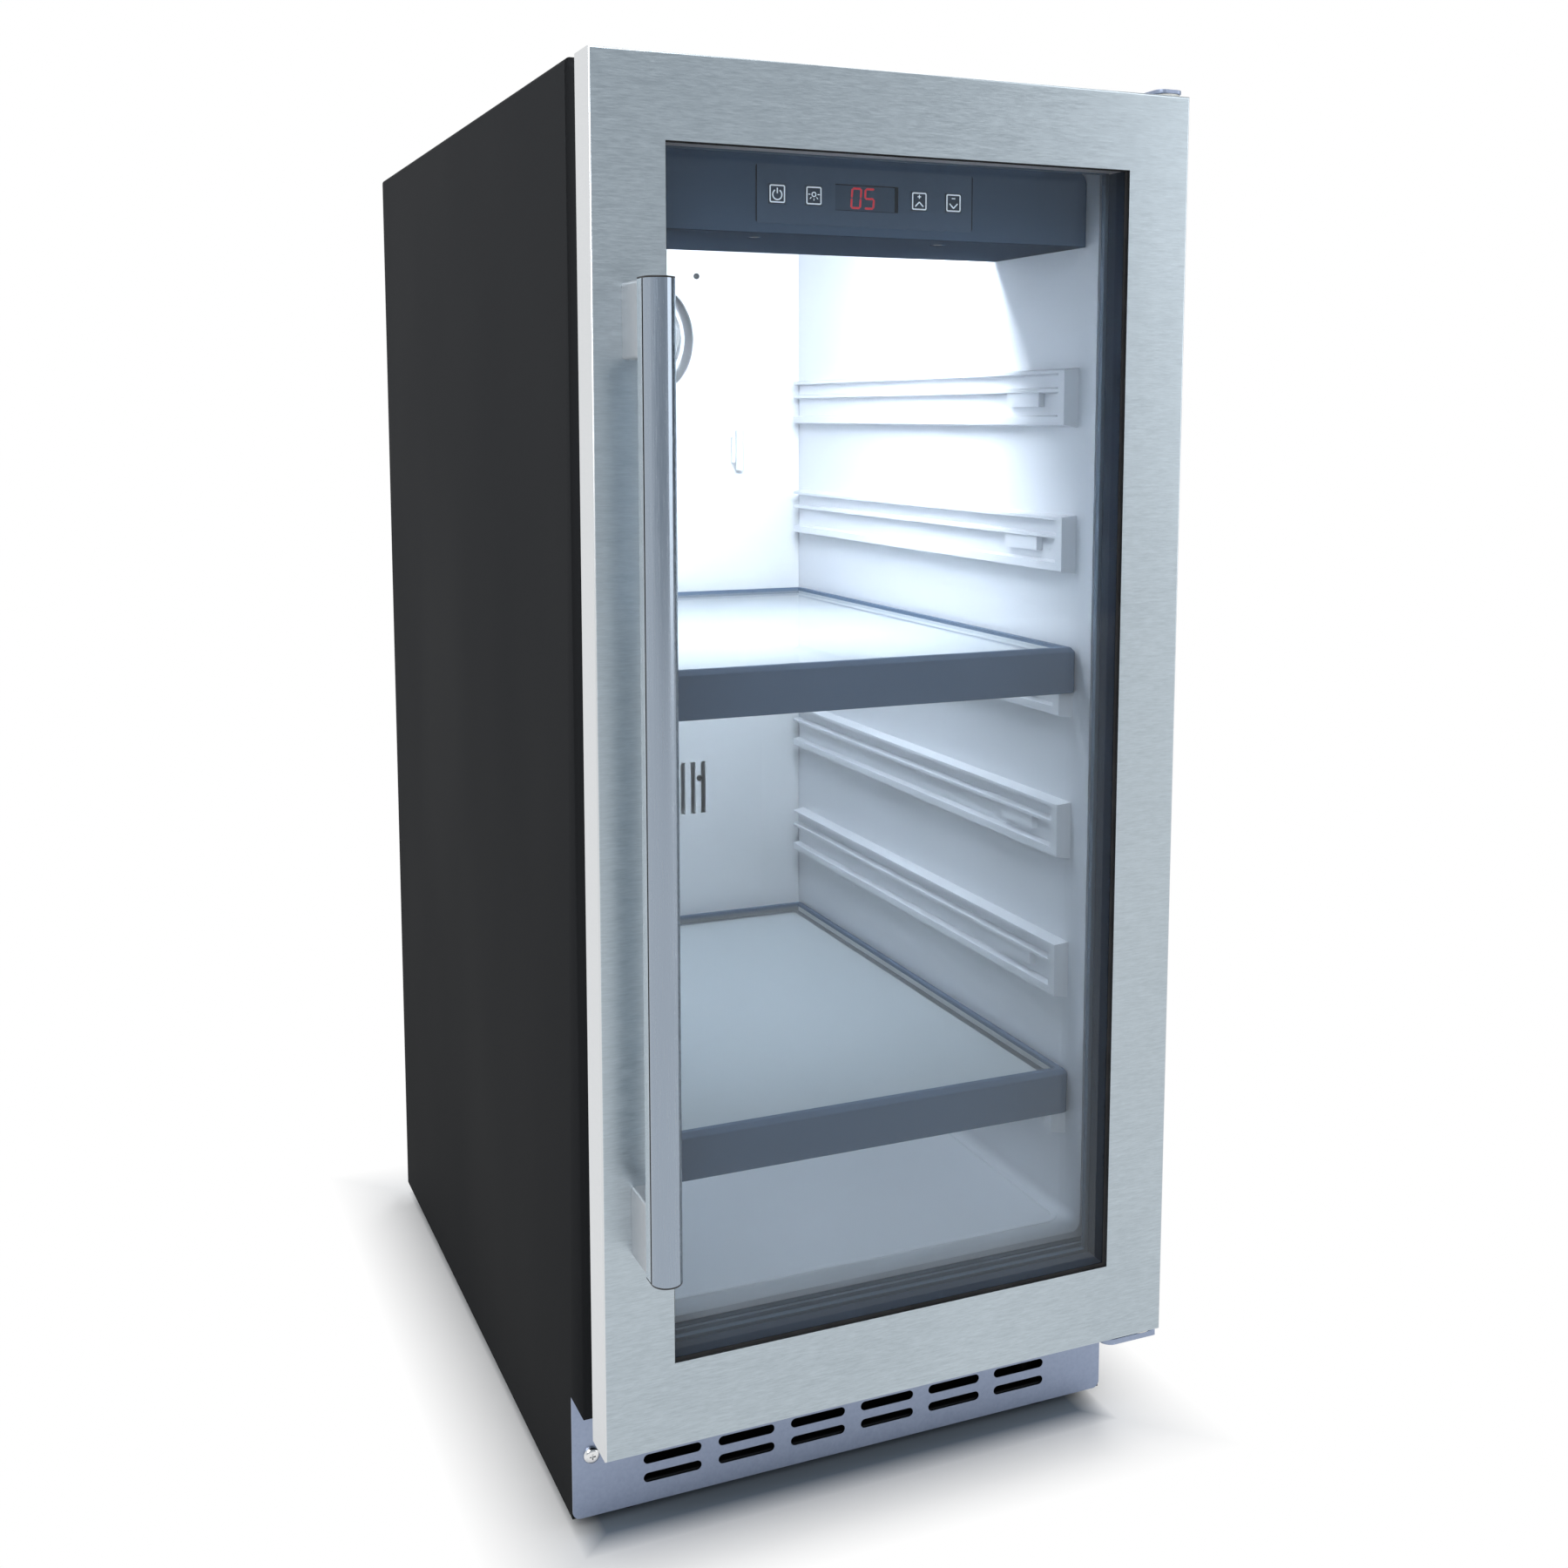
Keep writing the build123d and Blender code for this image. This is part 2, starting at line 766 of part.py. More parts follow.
# Condenser fan: sheet with a round opening on the coil, motor on a bent strap behind it, and its blade
shroud_y = coil_y + coil_depth / 2
strap_y = shroud_y + shroud_depth
condenser_fan_y = shroud_y + fan_from_coil
with BuildPart() as condenser_fan_shroud:
    with BuildSketch(front_plane(shroud_y)):
        with Locations((coil_x, pan_top)):
            Rectangle(coil_width - 2 * coil_header, coil_height + coil_lift, align=(Align.CENTER, Align.MIN))
        with Locations((coil_x, coil_z)):
            Circle(fan_radius + fan_clearance, mode=Mode.SUBTRACT)
    extrude(amount=-shroud_wall)
    with Locations([(coil_x + side * strap_leg, shroud_y, coil_z) for side in (-1, 1)]):
        Box(shroud_wall, shroud_depth, strap_height, align=(Align.CENTER, Align.MIN, Align.CENTER))
    with BuildSketch(front_plane(strap_y)):
        with Locations((coil_x, coil_z)):
            Rectangle(2 * strap_leg + shroud_wall, strap_height)
            Circle(strap_boss)
            Circle(motor_neck + fit, mode=Mode.SUBTRACT)
    extrude(amount=-shroud_wall)
save(condenser_fan_shroud, "condenser_fan_shroud")


# Axial fan: hub, shaft and pitched blades, with the shaft pointing backwards from the origin
def axial_fan(radius, hub_radius):
    """Blade set whose hub's front face is at the origin."""
    with BuildPart(mode=Mode.PRIVATE) as fan:
        round_bar(hub_radius, blade_depth)
        for blade in range(blade_count):
            spoke = Plane.XY.rotated((0, 360 / blade_count * blade, 0))
            out = Vector(spoke.x_dir)
            lean = Vector(0, 1, 0).rotate(Axis((0, 0, 0), out), fan_pitch)
            root = out * (hub_radius - blade_root) + Vector(0, blade_depth / 2, 0)
            with BuildSketch(Plane(root, x_dir=lean, z_dir=out)):
                Rectangle(blade_thick, chord_share * radius)
            extrude(amount=radius)
        round_bar(radius, blade_depth, Mode.INTERSECT)
        round_bar(shaft_radius, blade_depth + shaft_length)
    return fan.part


with BuildPart() as condenser_fan_blade:
    with Locations((coil_x, condenser_fan_y, coil_z)):
        add(axial_fan(fan_radius, condenser_hub))
save(condenser_fan_blade, "condenser_fan_blade")

with BuildPart() as condenser_fan_motor:
    can_y = strap_y + shroud_wall
    neck_y = condenser_fan_y + blade_depth + blade_gap
    with Locations((coil_x, can_y, coil_z)):
        round_bar(motor_radius, condenser_motor_depth)
    with Locations((coil_x, neck_y, coil_z)):
        round_bar(motor_neck, can_y - neck_y)
        round_bar(shaft_radius + running, bearing_depth, Mode.SUBTRACT)
save(condenser_fan_motor, "condenser_fan_motor")

# Drip tray on the base pan
tray_x = -half_width + tray_from_side + tray_width / 2
tray_y = strap_y + tray_from_fan
with BuildPart() as drip_tray:
    with BuildSketch(Plane.XY.offset(pan_top)):
        with Locations((tray_x, tray_y)):
            Rectangle(tray_width, tray_depth, align=(Align.CENTER, Align.MIN))
    extrude(amount=tray_height, taper=-tray_draft)
    with BuildSketch(Plane.XY.offset(pan_top + shroud_wall)):
        with Locations((tray_x, tray_y + shroud_wall)):
            Rectangle(
                tray_width - 2 * shroud_wall,
                tray_depth - 2 * shroud_wall,
                align=(Align.CENTER, Align.MIN),
            )
    extrude(amount=tray_height, taper=-tray_draft, mode=Mode.SUBTRACT)
save(drip_tray, "drip_tray")

# Pipes: discharge and liquid lines to and from the condenser, suction line up into the insulation
coil_end_x = coil_x + coil_width / 2
low_pass_z = pan_top + coil_lift + coil_port_inset
drier_x = coil_end_x + drier_from_coil
drier_y = coil_y + drier_behind_coil
port_face = port_root + port_length
discharge_x = compressor_x - port_offset
discharge_route = (
    (discharge_x, compressor_y - port_face, port_level),
    (discharge_x, coil_y, port_level),
    (coil_end_x, coil_y, port_level),
)
suction_x = compressor_x - port_face
suction_route = (
    (suction_x, compressor_y + port_offset, port_level),
    (suction_x - suction_run, compressor_y + port_offset, port_level),
    (suction_x - suction_run, compressor_y + port_offset, high_bulkhead - sheet),
)
liquid_route = (
    (coil_end_x, coil_y, low_pass_z),
    (drier_x, coil_y, low_pass_z),
    (drier_x, drier_y, low_pass_z),
)


def pipe(route):
    """Round pipe along straight runs with mitred corners, square to its first run."""
    start = Vector(*route[0])
    with BuildPart() as tube:
        with BuildLine() as path:
            Polyline(*route)
        with BuildSketch(Plane(start, z_dir=Vector(*route[1]) - start)):
            Circle(pipe_radius)
        sweep(path=path.wire(), transition=Transition.RIGHT)
    return tube.part


pipe_runs = [pipe(route) for route in (discharge_route, suction_route, liquid_route)]
with BuildPart() as refrigerant_pipes:
    add(pipe_runs)
save(refrigerant_pipes, "refrigerant_pipes")

# Filter drier: copper can on the end of the liquid line
with BuildPart() as filter_drier:
    with Locations((drier_x, drier_y, low_pass_z)):
        round_bar(drier_radius, drier_length)
save(filter_drier, "filter_drier")

# Duct panel across the back of the compartment, raised in the middle, with air slots and a fan opening
duct_half = liner_half - liner_clearance
duct_low = step_z + liner_clearance
duct_high = ceiling_z - liner_clearance
panel_front = duct_front + panel_raise
raise_half = liner_half - panel_raise_margin
slot_z = step_z + slot_from_step
with BuildPart() as air_duct_panel:
    with BuildSketch(front_plane(panel_front)) as duct_view:
        panel((duct_half, duct_low, duct_high))
        fillet(duct_view.vertices(), duct_corner)
    extrude(amount=-moulding)
    with BuildSketch(front_plane(panel_front)):
        panel((raise_half, duct_low + raise_foot, duct_high - raise_head))
    extrude(amount=panel_raise, taper=raise_draft)
    with BuildSketch(front_plane(panel_front + moulding)):
        panel((raise_half - moulding, duct_low + raise_foot + moulding, duct_high - raise_head - moulding))
    extrude(amount=panel_raise, taper=raise_draft, mode=Mode.SUBTRACT)
    for side in (-1, 1):
        with Locations((side * (duct_half - moulding / 2), panel_front, (duct_low + duct_high) / 2)):
            Box(
                moulding,
                duct_depth - panel_raise - profile_cove,
                duct_high - duct_low - 2 * duct_corner,
                align=(Align.CENTER, Align.MIN, Align.CENTER),
            )
    with BuildSketch(front_plane(duct_front)):
        with Locations((0, slot_z)):
            with GridLocations(air_slot_pitch, 0, air_slot_count, 1):
                Rectangle(air_slot_width, air_slot_length)
        with Locations((0, fan_z)):
            Circle(grille_opening)
    extrude(amount=-(panel_raise + moulding), mode=Mode.SUBTRACT)
save(air_duct_panel, "air_duct_panel")

# Fan grille: concentric rings on crossed spokes inside a flat flange
with BuildPart() as fan_grille:
    with Locations((0, duct_front - grille_thick, fan_z)):
        round_bar(grille_flange, grille_thick)
    with BuildSketch(front_plane(duct_front - grille_thick)):
        with Locations((0, fan_z)):
            Circle(grille_opening - grille_lip)
            ring_radius = grille_opening - grille_lip - grille_pitch
            while ring_radius > 2 * grille_pitch:
                Circle(ring_radius + grille_bar / 2, mode=Mode.SUBTRACT)
                Circle(ring_radius - grille_bar / 2)
                ring_radius -= grille_pitch
            Circle(ring_radius + grille_bar, mode=Mode.SUBTRACT)
            for angle in (45, 135):
                Rectangle(2 * grille_opening, grille_spoke, rotation=angle, mode=Mode.SUBTRACT)
    extrude(amount=-grille_thick, mode=Mode.SUBTRACT)
save(fan_grille, "fan_grille")

# Evaporator fan on the liner's back wall
evaporator_motor_y = liner_back - motor_depth
evaporator_fan_y = evaporator_motor_y - blade_gap - blade_depth
with BuildPart() as evaporator_fan_motor:
    with Locations((0, evaporator_motor_y, fan_z)):
        round_bar(motor_radius, motor_depth)
        round_bar(shaft_radius + running, bearing_depth, Mode.SUBTRACT)
save(evaporator_fan_motor, "evaporator_fan_motor")

with BuildPart() as evaporator_fan_blade:
    with Locations((0, evaporator_fan_y, fan_z)):
        add(axial_fan(evaporator_fan_radius, evaporator_hub))
save(evaporator_fan_blade, "evaporator_fan_blade")

# Evaporator coil behind the duct panel, below the fan
evaporator_z = fan_z - grille_flange - evaporator_height / 2
with BuildPart() as evaporator_coil:
    with Locations((0, liner_back - evaporator_depth / 2, evaporator_z)):
        add(finned_coil(evaporator_width, evaporator_depth, evaporator_height))
save(evaporator_coil, "evaporator_coil")

# Temperature sensor: capsule on a clip, on the duct panel
sensor_x = raise_half - sensor_from_edge
sensor_y = duct_front - clip_depth - sensor_radius + clip_grip
sensor_z = fan_z - grille_flange - sensor_drop
with BuildPart() as temperature_sensor:
    with Locations((sensor_x, duct_front, sensor_z)):
        Box(clip_width, clip_depth, clip_height, align=(Align.CENTER, Align.MAX, Align.CENTER))
    with Locations((sensor_x, sensor_y, sensor_z)):
        Cylinder(sensor_radius, sensor_length)
save(temperature_sensor, "temperature_sensor")

# Control housing: open-topped moulding under the liner ceiling
key_places = {
    "power": -key_inner - key_spacing,
    "light": -key_inner,
    "up": key_inner,
    "down": key_inner + key_spacing,
}
housing_half = liner_half - liner_clearance
lamp_z = housing_low + lamp_rise
well_y = housing_front + well_setback
post_x = overlay_width / 2 - post_inset
post_z = board_height / 2 - post_inset
post_places = [(x, key_z + z) for x in (-post_x, post_x) for z in (-post_z, post_z)]
with BuildPart() as control_housing:
    with BuildSketch(front_plane(housing_front)):
        with Locations((0, housing_low)):
            add(folded_profile(2 * housing_half, housing_height, housing_corner))
    extrude(amount=-housing_depth)
    inside = housing_depth - 2 * moulding
    with BuildSketch(front_plane(housing_front + moulding)):
        with Locations((0, housing_low + moulding)):
            Rectangle(
                2 * (housing_half - housing_corner / 2),
                housing_height,
                align=(Align.CENTER, Align.MIN),
            )
    extrude(amount=-inside, mode=Mode.SUBTRACT)
    with BuildSketch(front_plane(housing_front)):
        with Locations((0, key_z)):
            Rectangle(display_width + 2 * fit, display_height + 2 * fit)
        with Locations([(x, key_z) for x in key_places.values()]):
            Rectangle(key_width + 2 * key_gap, key_height + 2 * key_gap)
    extrude(amount=-moulding, mode=Mode.SUBTRACT)
    with Locations([(x, housing_front + moulding, z) for x, z in post_places]):
        Box(
            post_side,
            board_front - housing_front - moulding,
            post_side,
            align=(Align.CENTER, Align.MIN, Align.CENTER),
        )
    with Locations((0, housing_back, lamp_z)):
        Box(
            lamp_width + 2 * fit,
            moulding,
            lamp_height + 2 * fit,
            align=(Align.CENTER, Align.MAX, Align.CENTER),
            mode=Mode.SUBTRACT,
        )
    with Locations((-well_x, well_y, housing_low), (well_x, well_y, housing_low)):
        Cylinder(well_radius, well_depth, align=(Align.CENTER, Align.CENTER, Align.MIN), mode=Mode.SUBTRACT)
save(control_housing, "control_housing")

# Overlay film round the keys and the sunk display
overlay_front = housing_front - overlay_thick
with BuildPart() as control_overlay:
    with BuildSketch(front_plane(overlay_front)):
        with Locations((0, key_z)):
            RectangleRounded(overlay_width, overlay_height, overlay_round)
        with Locations([(x, key_z) for x in key_places.values()]):
            Rectangle(key_width + 2 * key_gap, key_height + 2 * key_gap, mode=Mode.SUBTRACT)
        with Locations((0, key_z)):
            Rectangle(display_width - 2 * display_lap, display_height - 2 * display_lap, mode=Mode.SUBTRACT)
    extrude(amount=-overlay_thick)
save(control_overlay, "control_overlay")

with BuildPart() as display_module:
    with Locations((0, housing_front + display_recess, key_z)):
        Box(display_width, display_depth, display_height, align=(Align.CENTER, Align.MIN, Align.CENTER))
save(display_module, "display_module")

# Control board with a switch behind each key
switch_front = board_front - switch_depth
with BuildPart() as control_board:
    with BuildSketch(front_plane(board_front)):
        with Locations((0, key_z)):
            Rectangle(overlay_width, board_height)
    extrude(amount=-board_thick)
    with Locations([(x, switch_front, key_z) for x in key_places.values()]):
        Box(switch_side, switch_depth, switch_side, align=(Align.CENTER, Align.MIN, Align.CENTER))
save(control_board, "control_board")

# Keys: caps that pass through the housing and are held by a flange behind it
flange_front = housing_front + moulding + seat
key_front = overlay_front - key_proud
for key, x in key_places.items():
    with BuildPart() as key_cap:
        with BuildSketch(front_plane(key_front)):
            with Locations((x, key_z)):
                Rectangle(key_width, key_height)
        extrude(amount=-(flange_front - key_front))
        chamfer(key_cap.faces().sort_by(Axis.Y)[0].edges(), key_bevel)
        with BuildSketch(front_plane(flange_front)):
            with Locations((x, key_z)):
                Rectangle(key_width + 2 * key_flange_lap, key_height + 2 * key_flange_lap)
        extrude(amount=-key_flange)
        stem_length = switch_front - key_travel_room - flange_front
        with Locations((x, flange_front, key_z)):
            Box(key_stem, stem_length, key_stem, align=(Align.CENTER, Align.MIN, Align.CENTER))
    save(key_cap, f"key_{key}")

# Lamp: diffuser set into the back of the housing, shining down the rear wall, with its LED strip inside
lamp_front = housing_back - lamp_tray
with BuildPart() as led_diffuser:
    with Locations((0, lamp_front, lamp_z)):
        Box(
            lamp_width,
            lamp_tray + lamp_proud,
            lamp_height,
            align=(Align.CENTER, Align.MIN, Align.CENTER),
        )
    fillet(led_diffuser.edges().filter_by(Axis.X).group_by(Axis.Y)[-1], lamp_wall)
    with Locations((0, lamp_front, lamp_z)):
        Box(
            lamp_width - 2 * lamp_wall,
            lamp_tray + lamp_proud - lamp_wall,
            lamp_height - 2 * lamp_wall,
            align=(Align.CENTER, Align.MIN, Align.CENTER),
            mode=Mode.SUBTRACT,
        )
save(led_diffuser, "led_diffuser")

with BuildPart() as led_strip:
    with Locations((0, lamp_front, lamp_z)):
        Box(lamp_width, board_thick, lamp_height, align=(Align.CENTER, Align.MAX, Align.CENTER))
        with GridLocations(lamp_width / led_count, 0, led_count, 1):
            Box(led_side, led_rise, led_side, align=(Align.CENTER, Align.MIN, Align.CENTER))
save(led_strip, "led_strip")


# Shelves: moulded frame with a deep front trim, and a glass plate in its rebate
def shelf_frame(z):
    """Frame whose underside rests on rails at this height."""
    depth = shelf_back - shelf_front
    with BuildPart(mode=Mode.PRIVATE) as frame:
        with Locations((0, shelf_front, z)):
            Box(2 * shelf_half, depth, rim_height, align=(Align.CENTER, Align.MIN, Align.MIN))
        with Locations((0, shelf_front, z)):
            Box(2 * shelf_half, skirt_wall, skirt_drop, align=(Align.CENTER, Align.MIN, Align.MAX))
        fillet(frame.edges().filter_by(Axis.Z).group_by(Axis.Y)[0], trim_round)
        fillet(frame.edges().filter_by(Axis.Z).group_by(Axis.Y)[-1], rim_width / 2)
        chamfer(frame.faces().sort_by(Axis.Z)[-1].edges().sort_by(Axis.Y)[0], trim_chamfer)
        with BuildSketch(Plane.XY.offset(z)):
            with Locations((0, shelf_front + rim_width)):
                Rectangle(
                    2 * (shelf_half - rim_width),
                    depth - 2 * rim_width,
                    align=(Align.CENTER, Align.MIN),
                )
        extrude(amount=rim_height, mode=Mode.SUBTRACT)
        with BuildSketch(Plane.XY.offset(z + rim_height - shelf_glass_sink - shelf_glass_thick)):
            with Locations((0, shelf_front + rim_width - glass_rest)):
                Rectangle(
                    2 * (shelf_half - rim_width + glass_rest),
                    depth - 2 * (rim_width - glass_rest),
                    align=(Align.CENTER, Align.MIN),
                )
        extrude(amount=rim_height, mode=Mode.SUBTRACT)
    return frame.part


def shelf_glass(z):
    """Glass plate in the rebate of the frame at this height."""
    depth = shelf_back - shelf_front - 2 * (rim_width - glass_rest + fit)
    with BuildPart(mode=Mode.PRIVATE) as glass:
        with BuildSketch(Plane.XY.offset(z + rim_height - shelf_glass_sink - shelf_glass_thick)):
            with Locations((0, (shelf_front + shelf_back) / 2)):
                RectangleRounded(2 * (shelf_half - rim_width + glass_rest - fit), depth, shelf_glass_round)
        extrude(amount=shelf_glass_thick)
    return glass.part


for shelf, level in (("lower", 0), ("upper", upper_shelf_level)):
    shelf_z = floor_z + rail_first + level * rail_pitch + seat
    with BuildPart() as shelf_piece:
        add(shelf_frame(shelf_z))
    save(shelf_piece, f"shelf_{shelf}_frame")
    with BuildPart() as shelf_plate:
        add(shelf_glass(shelf_z))
    save(shelf_plate, f"shelf_{shelf}_glass")

# Door skin: folded steel tray with the window cut out, and holes for the hinge bushes
door_outline = (half_width, door_bottom, door_top)
window_outline = (window_half, window_low, window_high)
pane_outline = (pane_half, pane_low, pane_high)
post_end = cap_thick + post_height / 2
post_middles = (handle_low + post_end, handle_high - post_end)
with BuildPart() as door_frame:
    with BuildSketch(front_plane(door_front)):
        panel(door_outline)
    extrude(amount=-skin_depth)
    fillet(door_frame.faces().sort_by(Axis.Y)[0].edges(), skin_round)
    with BuildSketch(front_plane(door_front + skin)):
        panel(grown(door_outline, -skin))
    extrude(amount=-skin_depth, mode=Mode.SUBTRACT)
    with BuildSketch(front_plane(door_front)):
        panel(window_outline)
    extrude(amount=-skin, mode=Mode.SUBTRACT)
    with Locations((pivot_x, pivot_y, door_bottom)):
        Cylinder(
            bush_radius + fit,
            door_top - door_bottom,
            align=(Align.CENTER, Align.CENTER, Align.MIN),
            mode=Mode.SUBTRACT,
        )
save(door_frame, "door_frame")

# Black inner frame: fills the skin behind the glass, carries the panes and the gasket
with BuildPart() as door_inner_frame:
    add(
        ring(
            door_front + skin,
            skin_depth - skin,
            grown(door_outline, -skin - fit),
            grown(pane_outline, fit),
        )
    )
    add(
        ring(
            door_front + skin_depth,
            inner_pane_back - door_front - skin_depth,
            grown(door_outline, -inner_frame_inset),
            grown(pane_outline, fit),
        )
    )
    add(
        ring(
            inner_pane_back,
            inner_frame_back - inner_pane_back,
            grown(door_outline, -inner_frame_inset),
            grown(window_outline, 1),
        )
    )
    dart_middle = grown(gasket_inner, gasket_width / 2)
    with BuildSketch(front_plane(inner_frame_back - dart_depth - fit)):
        panel(grown(dart_middle, dart_width / 2 + fit))
        panel(grown(dart_middle, -dart_width / 2 - fit), Mode.SUBTRACT)
    extrude(amount=-(dart_depth + fit), mode=Mode.SUBTRACT)
    for z, align in ((door_bottom, Align.MIN), (door_top, Align.MAX)):
        with Locations((pivot_x, pivot_y, z)):
            Cylinder(
                bush_radius + fit,
                bush_depth + fit,
                align=(Align.CENTER, Align.CENTER, align),
                mode=Mode.SUBTRACT,
            )
save(door_inner_frame, "door_inner_frame")

# Glazing: a seal behind the steel, two panes and the spacer between them
with BuildPart() as glazing_seal:
    add(ring(door_front + skin, seal_thick, grown(pane_outline, -fit), grown(window_outline, -seal_show)))
save(glazing_seal, "glazing_seal")

with BuildPart() as glass_outer:
    with BuildSketch(front_plane(pane_front)):
        panel(pane_outline)
    extrude(amount=-pane)
save(glass_outer, "glass_outer")

with BuildPart() as glass_inner:
    with BuildSketch(front_plane(inner_pane_front)):
        panel(pane_outline)
    extrude(amount=-pane)
save(glass_inner, "glass_inner")

with BuildPart() as glass_spacer:
    add(ring(spacer_front, pane_gap, grown(window_outline, spacer_wall), grown(window_outline, 1)))
save(glass_spacer, "glass_spacer")

# Magnetic gasket: foot and dart on the door, narrow neck, and a wide magnet strip at the cabinet
gasket_back = cabinet_front - seat
with BuildPart() as door_gasket:
    add(
        ring(
            inner_frame_back - dart_depth,
            dart_depth,
            grown(dart_middle, dart_width / 2),
            grown(dart_middle, -dart_width / 2),
        )
    )
    add(ring(inner_frame_back, gasket_foot, grown(gasket_inner, gasket_width), gasket_inner))
    add(
        ring(
            inner_frame_back + gasket_foot,
            gasket_back - inner_frame_back - gasket_foot - magnet_depth,
            grown(dart_middle, gasket_neck / 2),
            grown(dart_middle, -gasket_neck / 2),
        )
    )
    add(
        ring(
            gasket_back - magnet_depth,
            magnet_depth,
            grown(gasket_inner, gasket_width - 2),
            grown(gasket_inner, 2),
        )
    )
save(door_gasket, "door_gasket")


# Handle: hollow bar with a half-round front and flat sides, on two posts flush with it
def bar_section(grow):
    """Section of the bar, flat towards the door."""
    back = door_front - post_length + grow
    side = bar_width / 2 + grow
    with BuildSketch(mode=Mode.PRIVATE) as section:
        with Locations((handle_x, 0)):
            with BuildLine():
                Polyline((-side, round_start), (-side, back), (side, back), (side, round_start))
                ThreePointArc((side, round_start), (0, handle_front - grow), (-side, round_start))
            make_face()
    return section.sketch


round_start = door_front - post_length - bar_straight
with BuildPart() as handle_bar:
    with BuildSketch(Plane.XY.offset(handle_low + cap_thick)):
        with Locations((handle_x, 0)):
            add(bar_section(0))
            add(bar_section(-bar_wall), mode=Mode.SUBTRACT)
        with Locations([(handle_x + side * bar_width / 2, round_start) for side in (-1, 1)]):
            Rectangle(2 * groove_depth, groove_width, mode=Mode.SUBTRACT)
    extrude(amount=handle_length - 2 * cap_thick)
save(handle_bar, "handle_bar")

with BuildPart() as handle_end_caps:
    for z in (handle_low, handle_high - cap_thick):
        with BuildSketch(Plane.XY.offset(z)):
            with Locations((handle_x, 0)):
                add(bar_section(0))
        extrude(amount=cap_thick)
save(handle_end_caps, "handle_end_caps")

with BuildPart() as handle_posts:
    with Locations([(handle_x, door_front, z) for z in post_middles]):
        Box(post_width, post_length, post_height, align=(Align.CENTER, Align.MAX, Align.CENTER))
    fillet(handle_posts.edges().filter_by(Axis.Y), post_round)
save(handle_posts, "handle_posts")

# Hinge bushes in the door's top and bottom edges
top_flange = top_z - door_top - bush_gap
bottom_flange = bottom_gap - bush_gap
with BuildPart() as hinge_bushes:
    for z, align, flange, way in (
        (door_top, Align.MAX, top_flange, Align.MIN),
        (door_bottom, Align.MIN, bottom_flange, Align.MAX),
    ):
        with Locations((pivot_x, pivot_y, z)):
            Cylinder(bush_radius, bush_depth, align=(Align.CENTER, Align.CENTER, align))
            Cylinder(bush_radius + bush_flange, flange, align=(Align.CENTER, Align.CENTER, way))
            Cylinder(pin_radius + running, 3 * bush_depth, mode=Mode.SUBTRACT)
save(hinge_bushes, "hinge_bushes")

# Top hinge plate: foot screwed to the cabinet top, arm reaching over the door
top_foot_y = cabinet_front + top_foot_setback
hinge_edge = half_width - top_edge_gap
top_screws = [(hinge_edge - inward, top_foot_y + back) for inward, back in top_screws_at]
with BuildPart() as hinge_plate_top:
    with BuildSketch(Plane.XY.offset(top_z)) as plate_view:
        with Locations((hinge_edge, top_foot_y)):
            Rectangle(top_foot_width, top_foot_depth, align=(Align.MAX, Align.MIN))
        with Locations((hinge_edge, door_front + hinge_front)):
            Rectangle(
                top_arm_width,
                top_foot_y + top_foot_depth - door_front - hinge_front,
                align=(Align.MAX, Align.MIN),
            )
        fillet(plate_view.vertices().sort_by(Axis.Y)[:2], top_arm_round)
        with Locations((pivot_x, pivot_y)):
            Circle(pin_radius + running, mode=Mode.SUBTRACT)
    extrude(amount=top_plate)
save(hinge_plate_top, "hinge_plate_top")

# Bottom hinge bracket: plate under the door's corner, leg screwed to the lower front rail
leg_left = half_width - bottom_plate_width
bottom_screws = [(leg_left + inward, bottom_plate_top + bottom_screw_rise) for inward in bottom_screws_at]
with BuildPart() as hinge_plate_bottom:
    with BuildSketch(Plane.XY.offset(bottom_plate_top - bottom_plate)) as plate_view:
        with Locations((half_width, door_front + hinge_front)):
            Rectangle(
                bottom_plate_width,
                cabinet_front - door_front - hinge_front,
                align=(Align.MAX, Align.MIN),
            )
        fillet(plate_view.vertices().group_by(Axis.Y)[0].sort_by(Axis.X)[0], bottom_plate_round)
        with Locations((pivot_x, pivot_y)):
            Circle(pin_radius + running, mode=Mode.SUBTRACT)
    extrude(amount=bottom_plate)
    with Locations((half_width, cabinet_front, bottom_plate_top)):
        Box(
            bottom_plate_width,
            bottom_plate,
            bottom_leg - bottom_plate,
            align=(Align.MAX, Align.MAX, Align.MIN),
        )
save(hinge_plate_bottom, "hinge_plate_bottom")

# Hinge pins, flush in their plates, from each plate into its bush
with BuildPart() as hinge_pins:
    for z, length, align in (
        (top_z + top_plate, top_plate + door_top_gap + pin_reach, Align.MAX),
        (bottom_plate_top - bottom_plate, bottom_plate + bottom_gap + pin_reach, Align.MIN),
    ):
        with Locations((pivot_x, pivot_y, z)):
            Cylinder(pin_radius, length, align=(Align.CENTER, Align.CENTER, align))
save(hinge_pins, "hinge_pins")

# Hexagon-headed screws of both hinge plates
with BuildPart() as hinge_screws:
    with BuildSketch(Plane.XY.offset(top_z + top_plate)):
        with Locations(top_screws):
            RegularPolygon(screw_head, 6)
    extrude(amount=screw_head_depth)
    with BuildSketch(front_plane(cabinet_front - bottom_plate)):
        with Locations(bottom_screws):
            RegularPolygon(screw_head, 6)
    extrude(amount=screw_head_depth)
save(hinge_screws, "hinge_screws")
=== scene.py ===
import json
import math

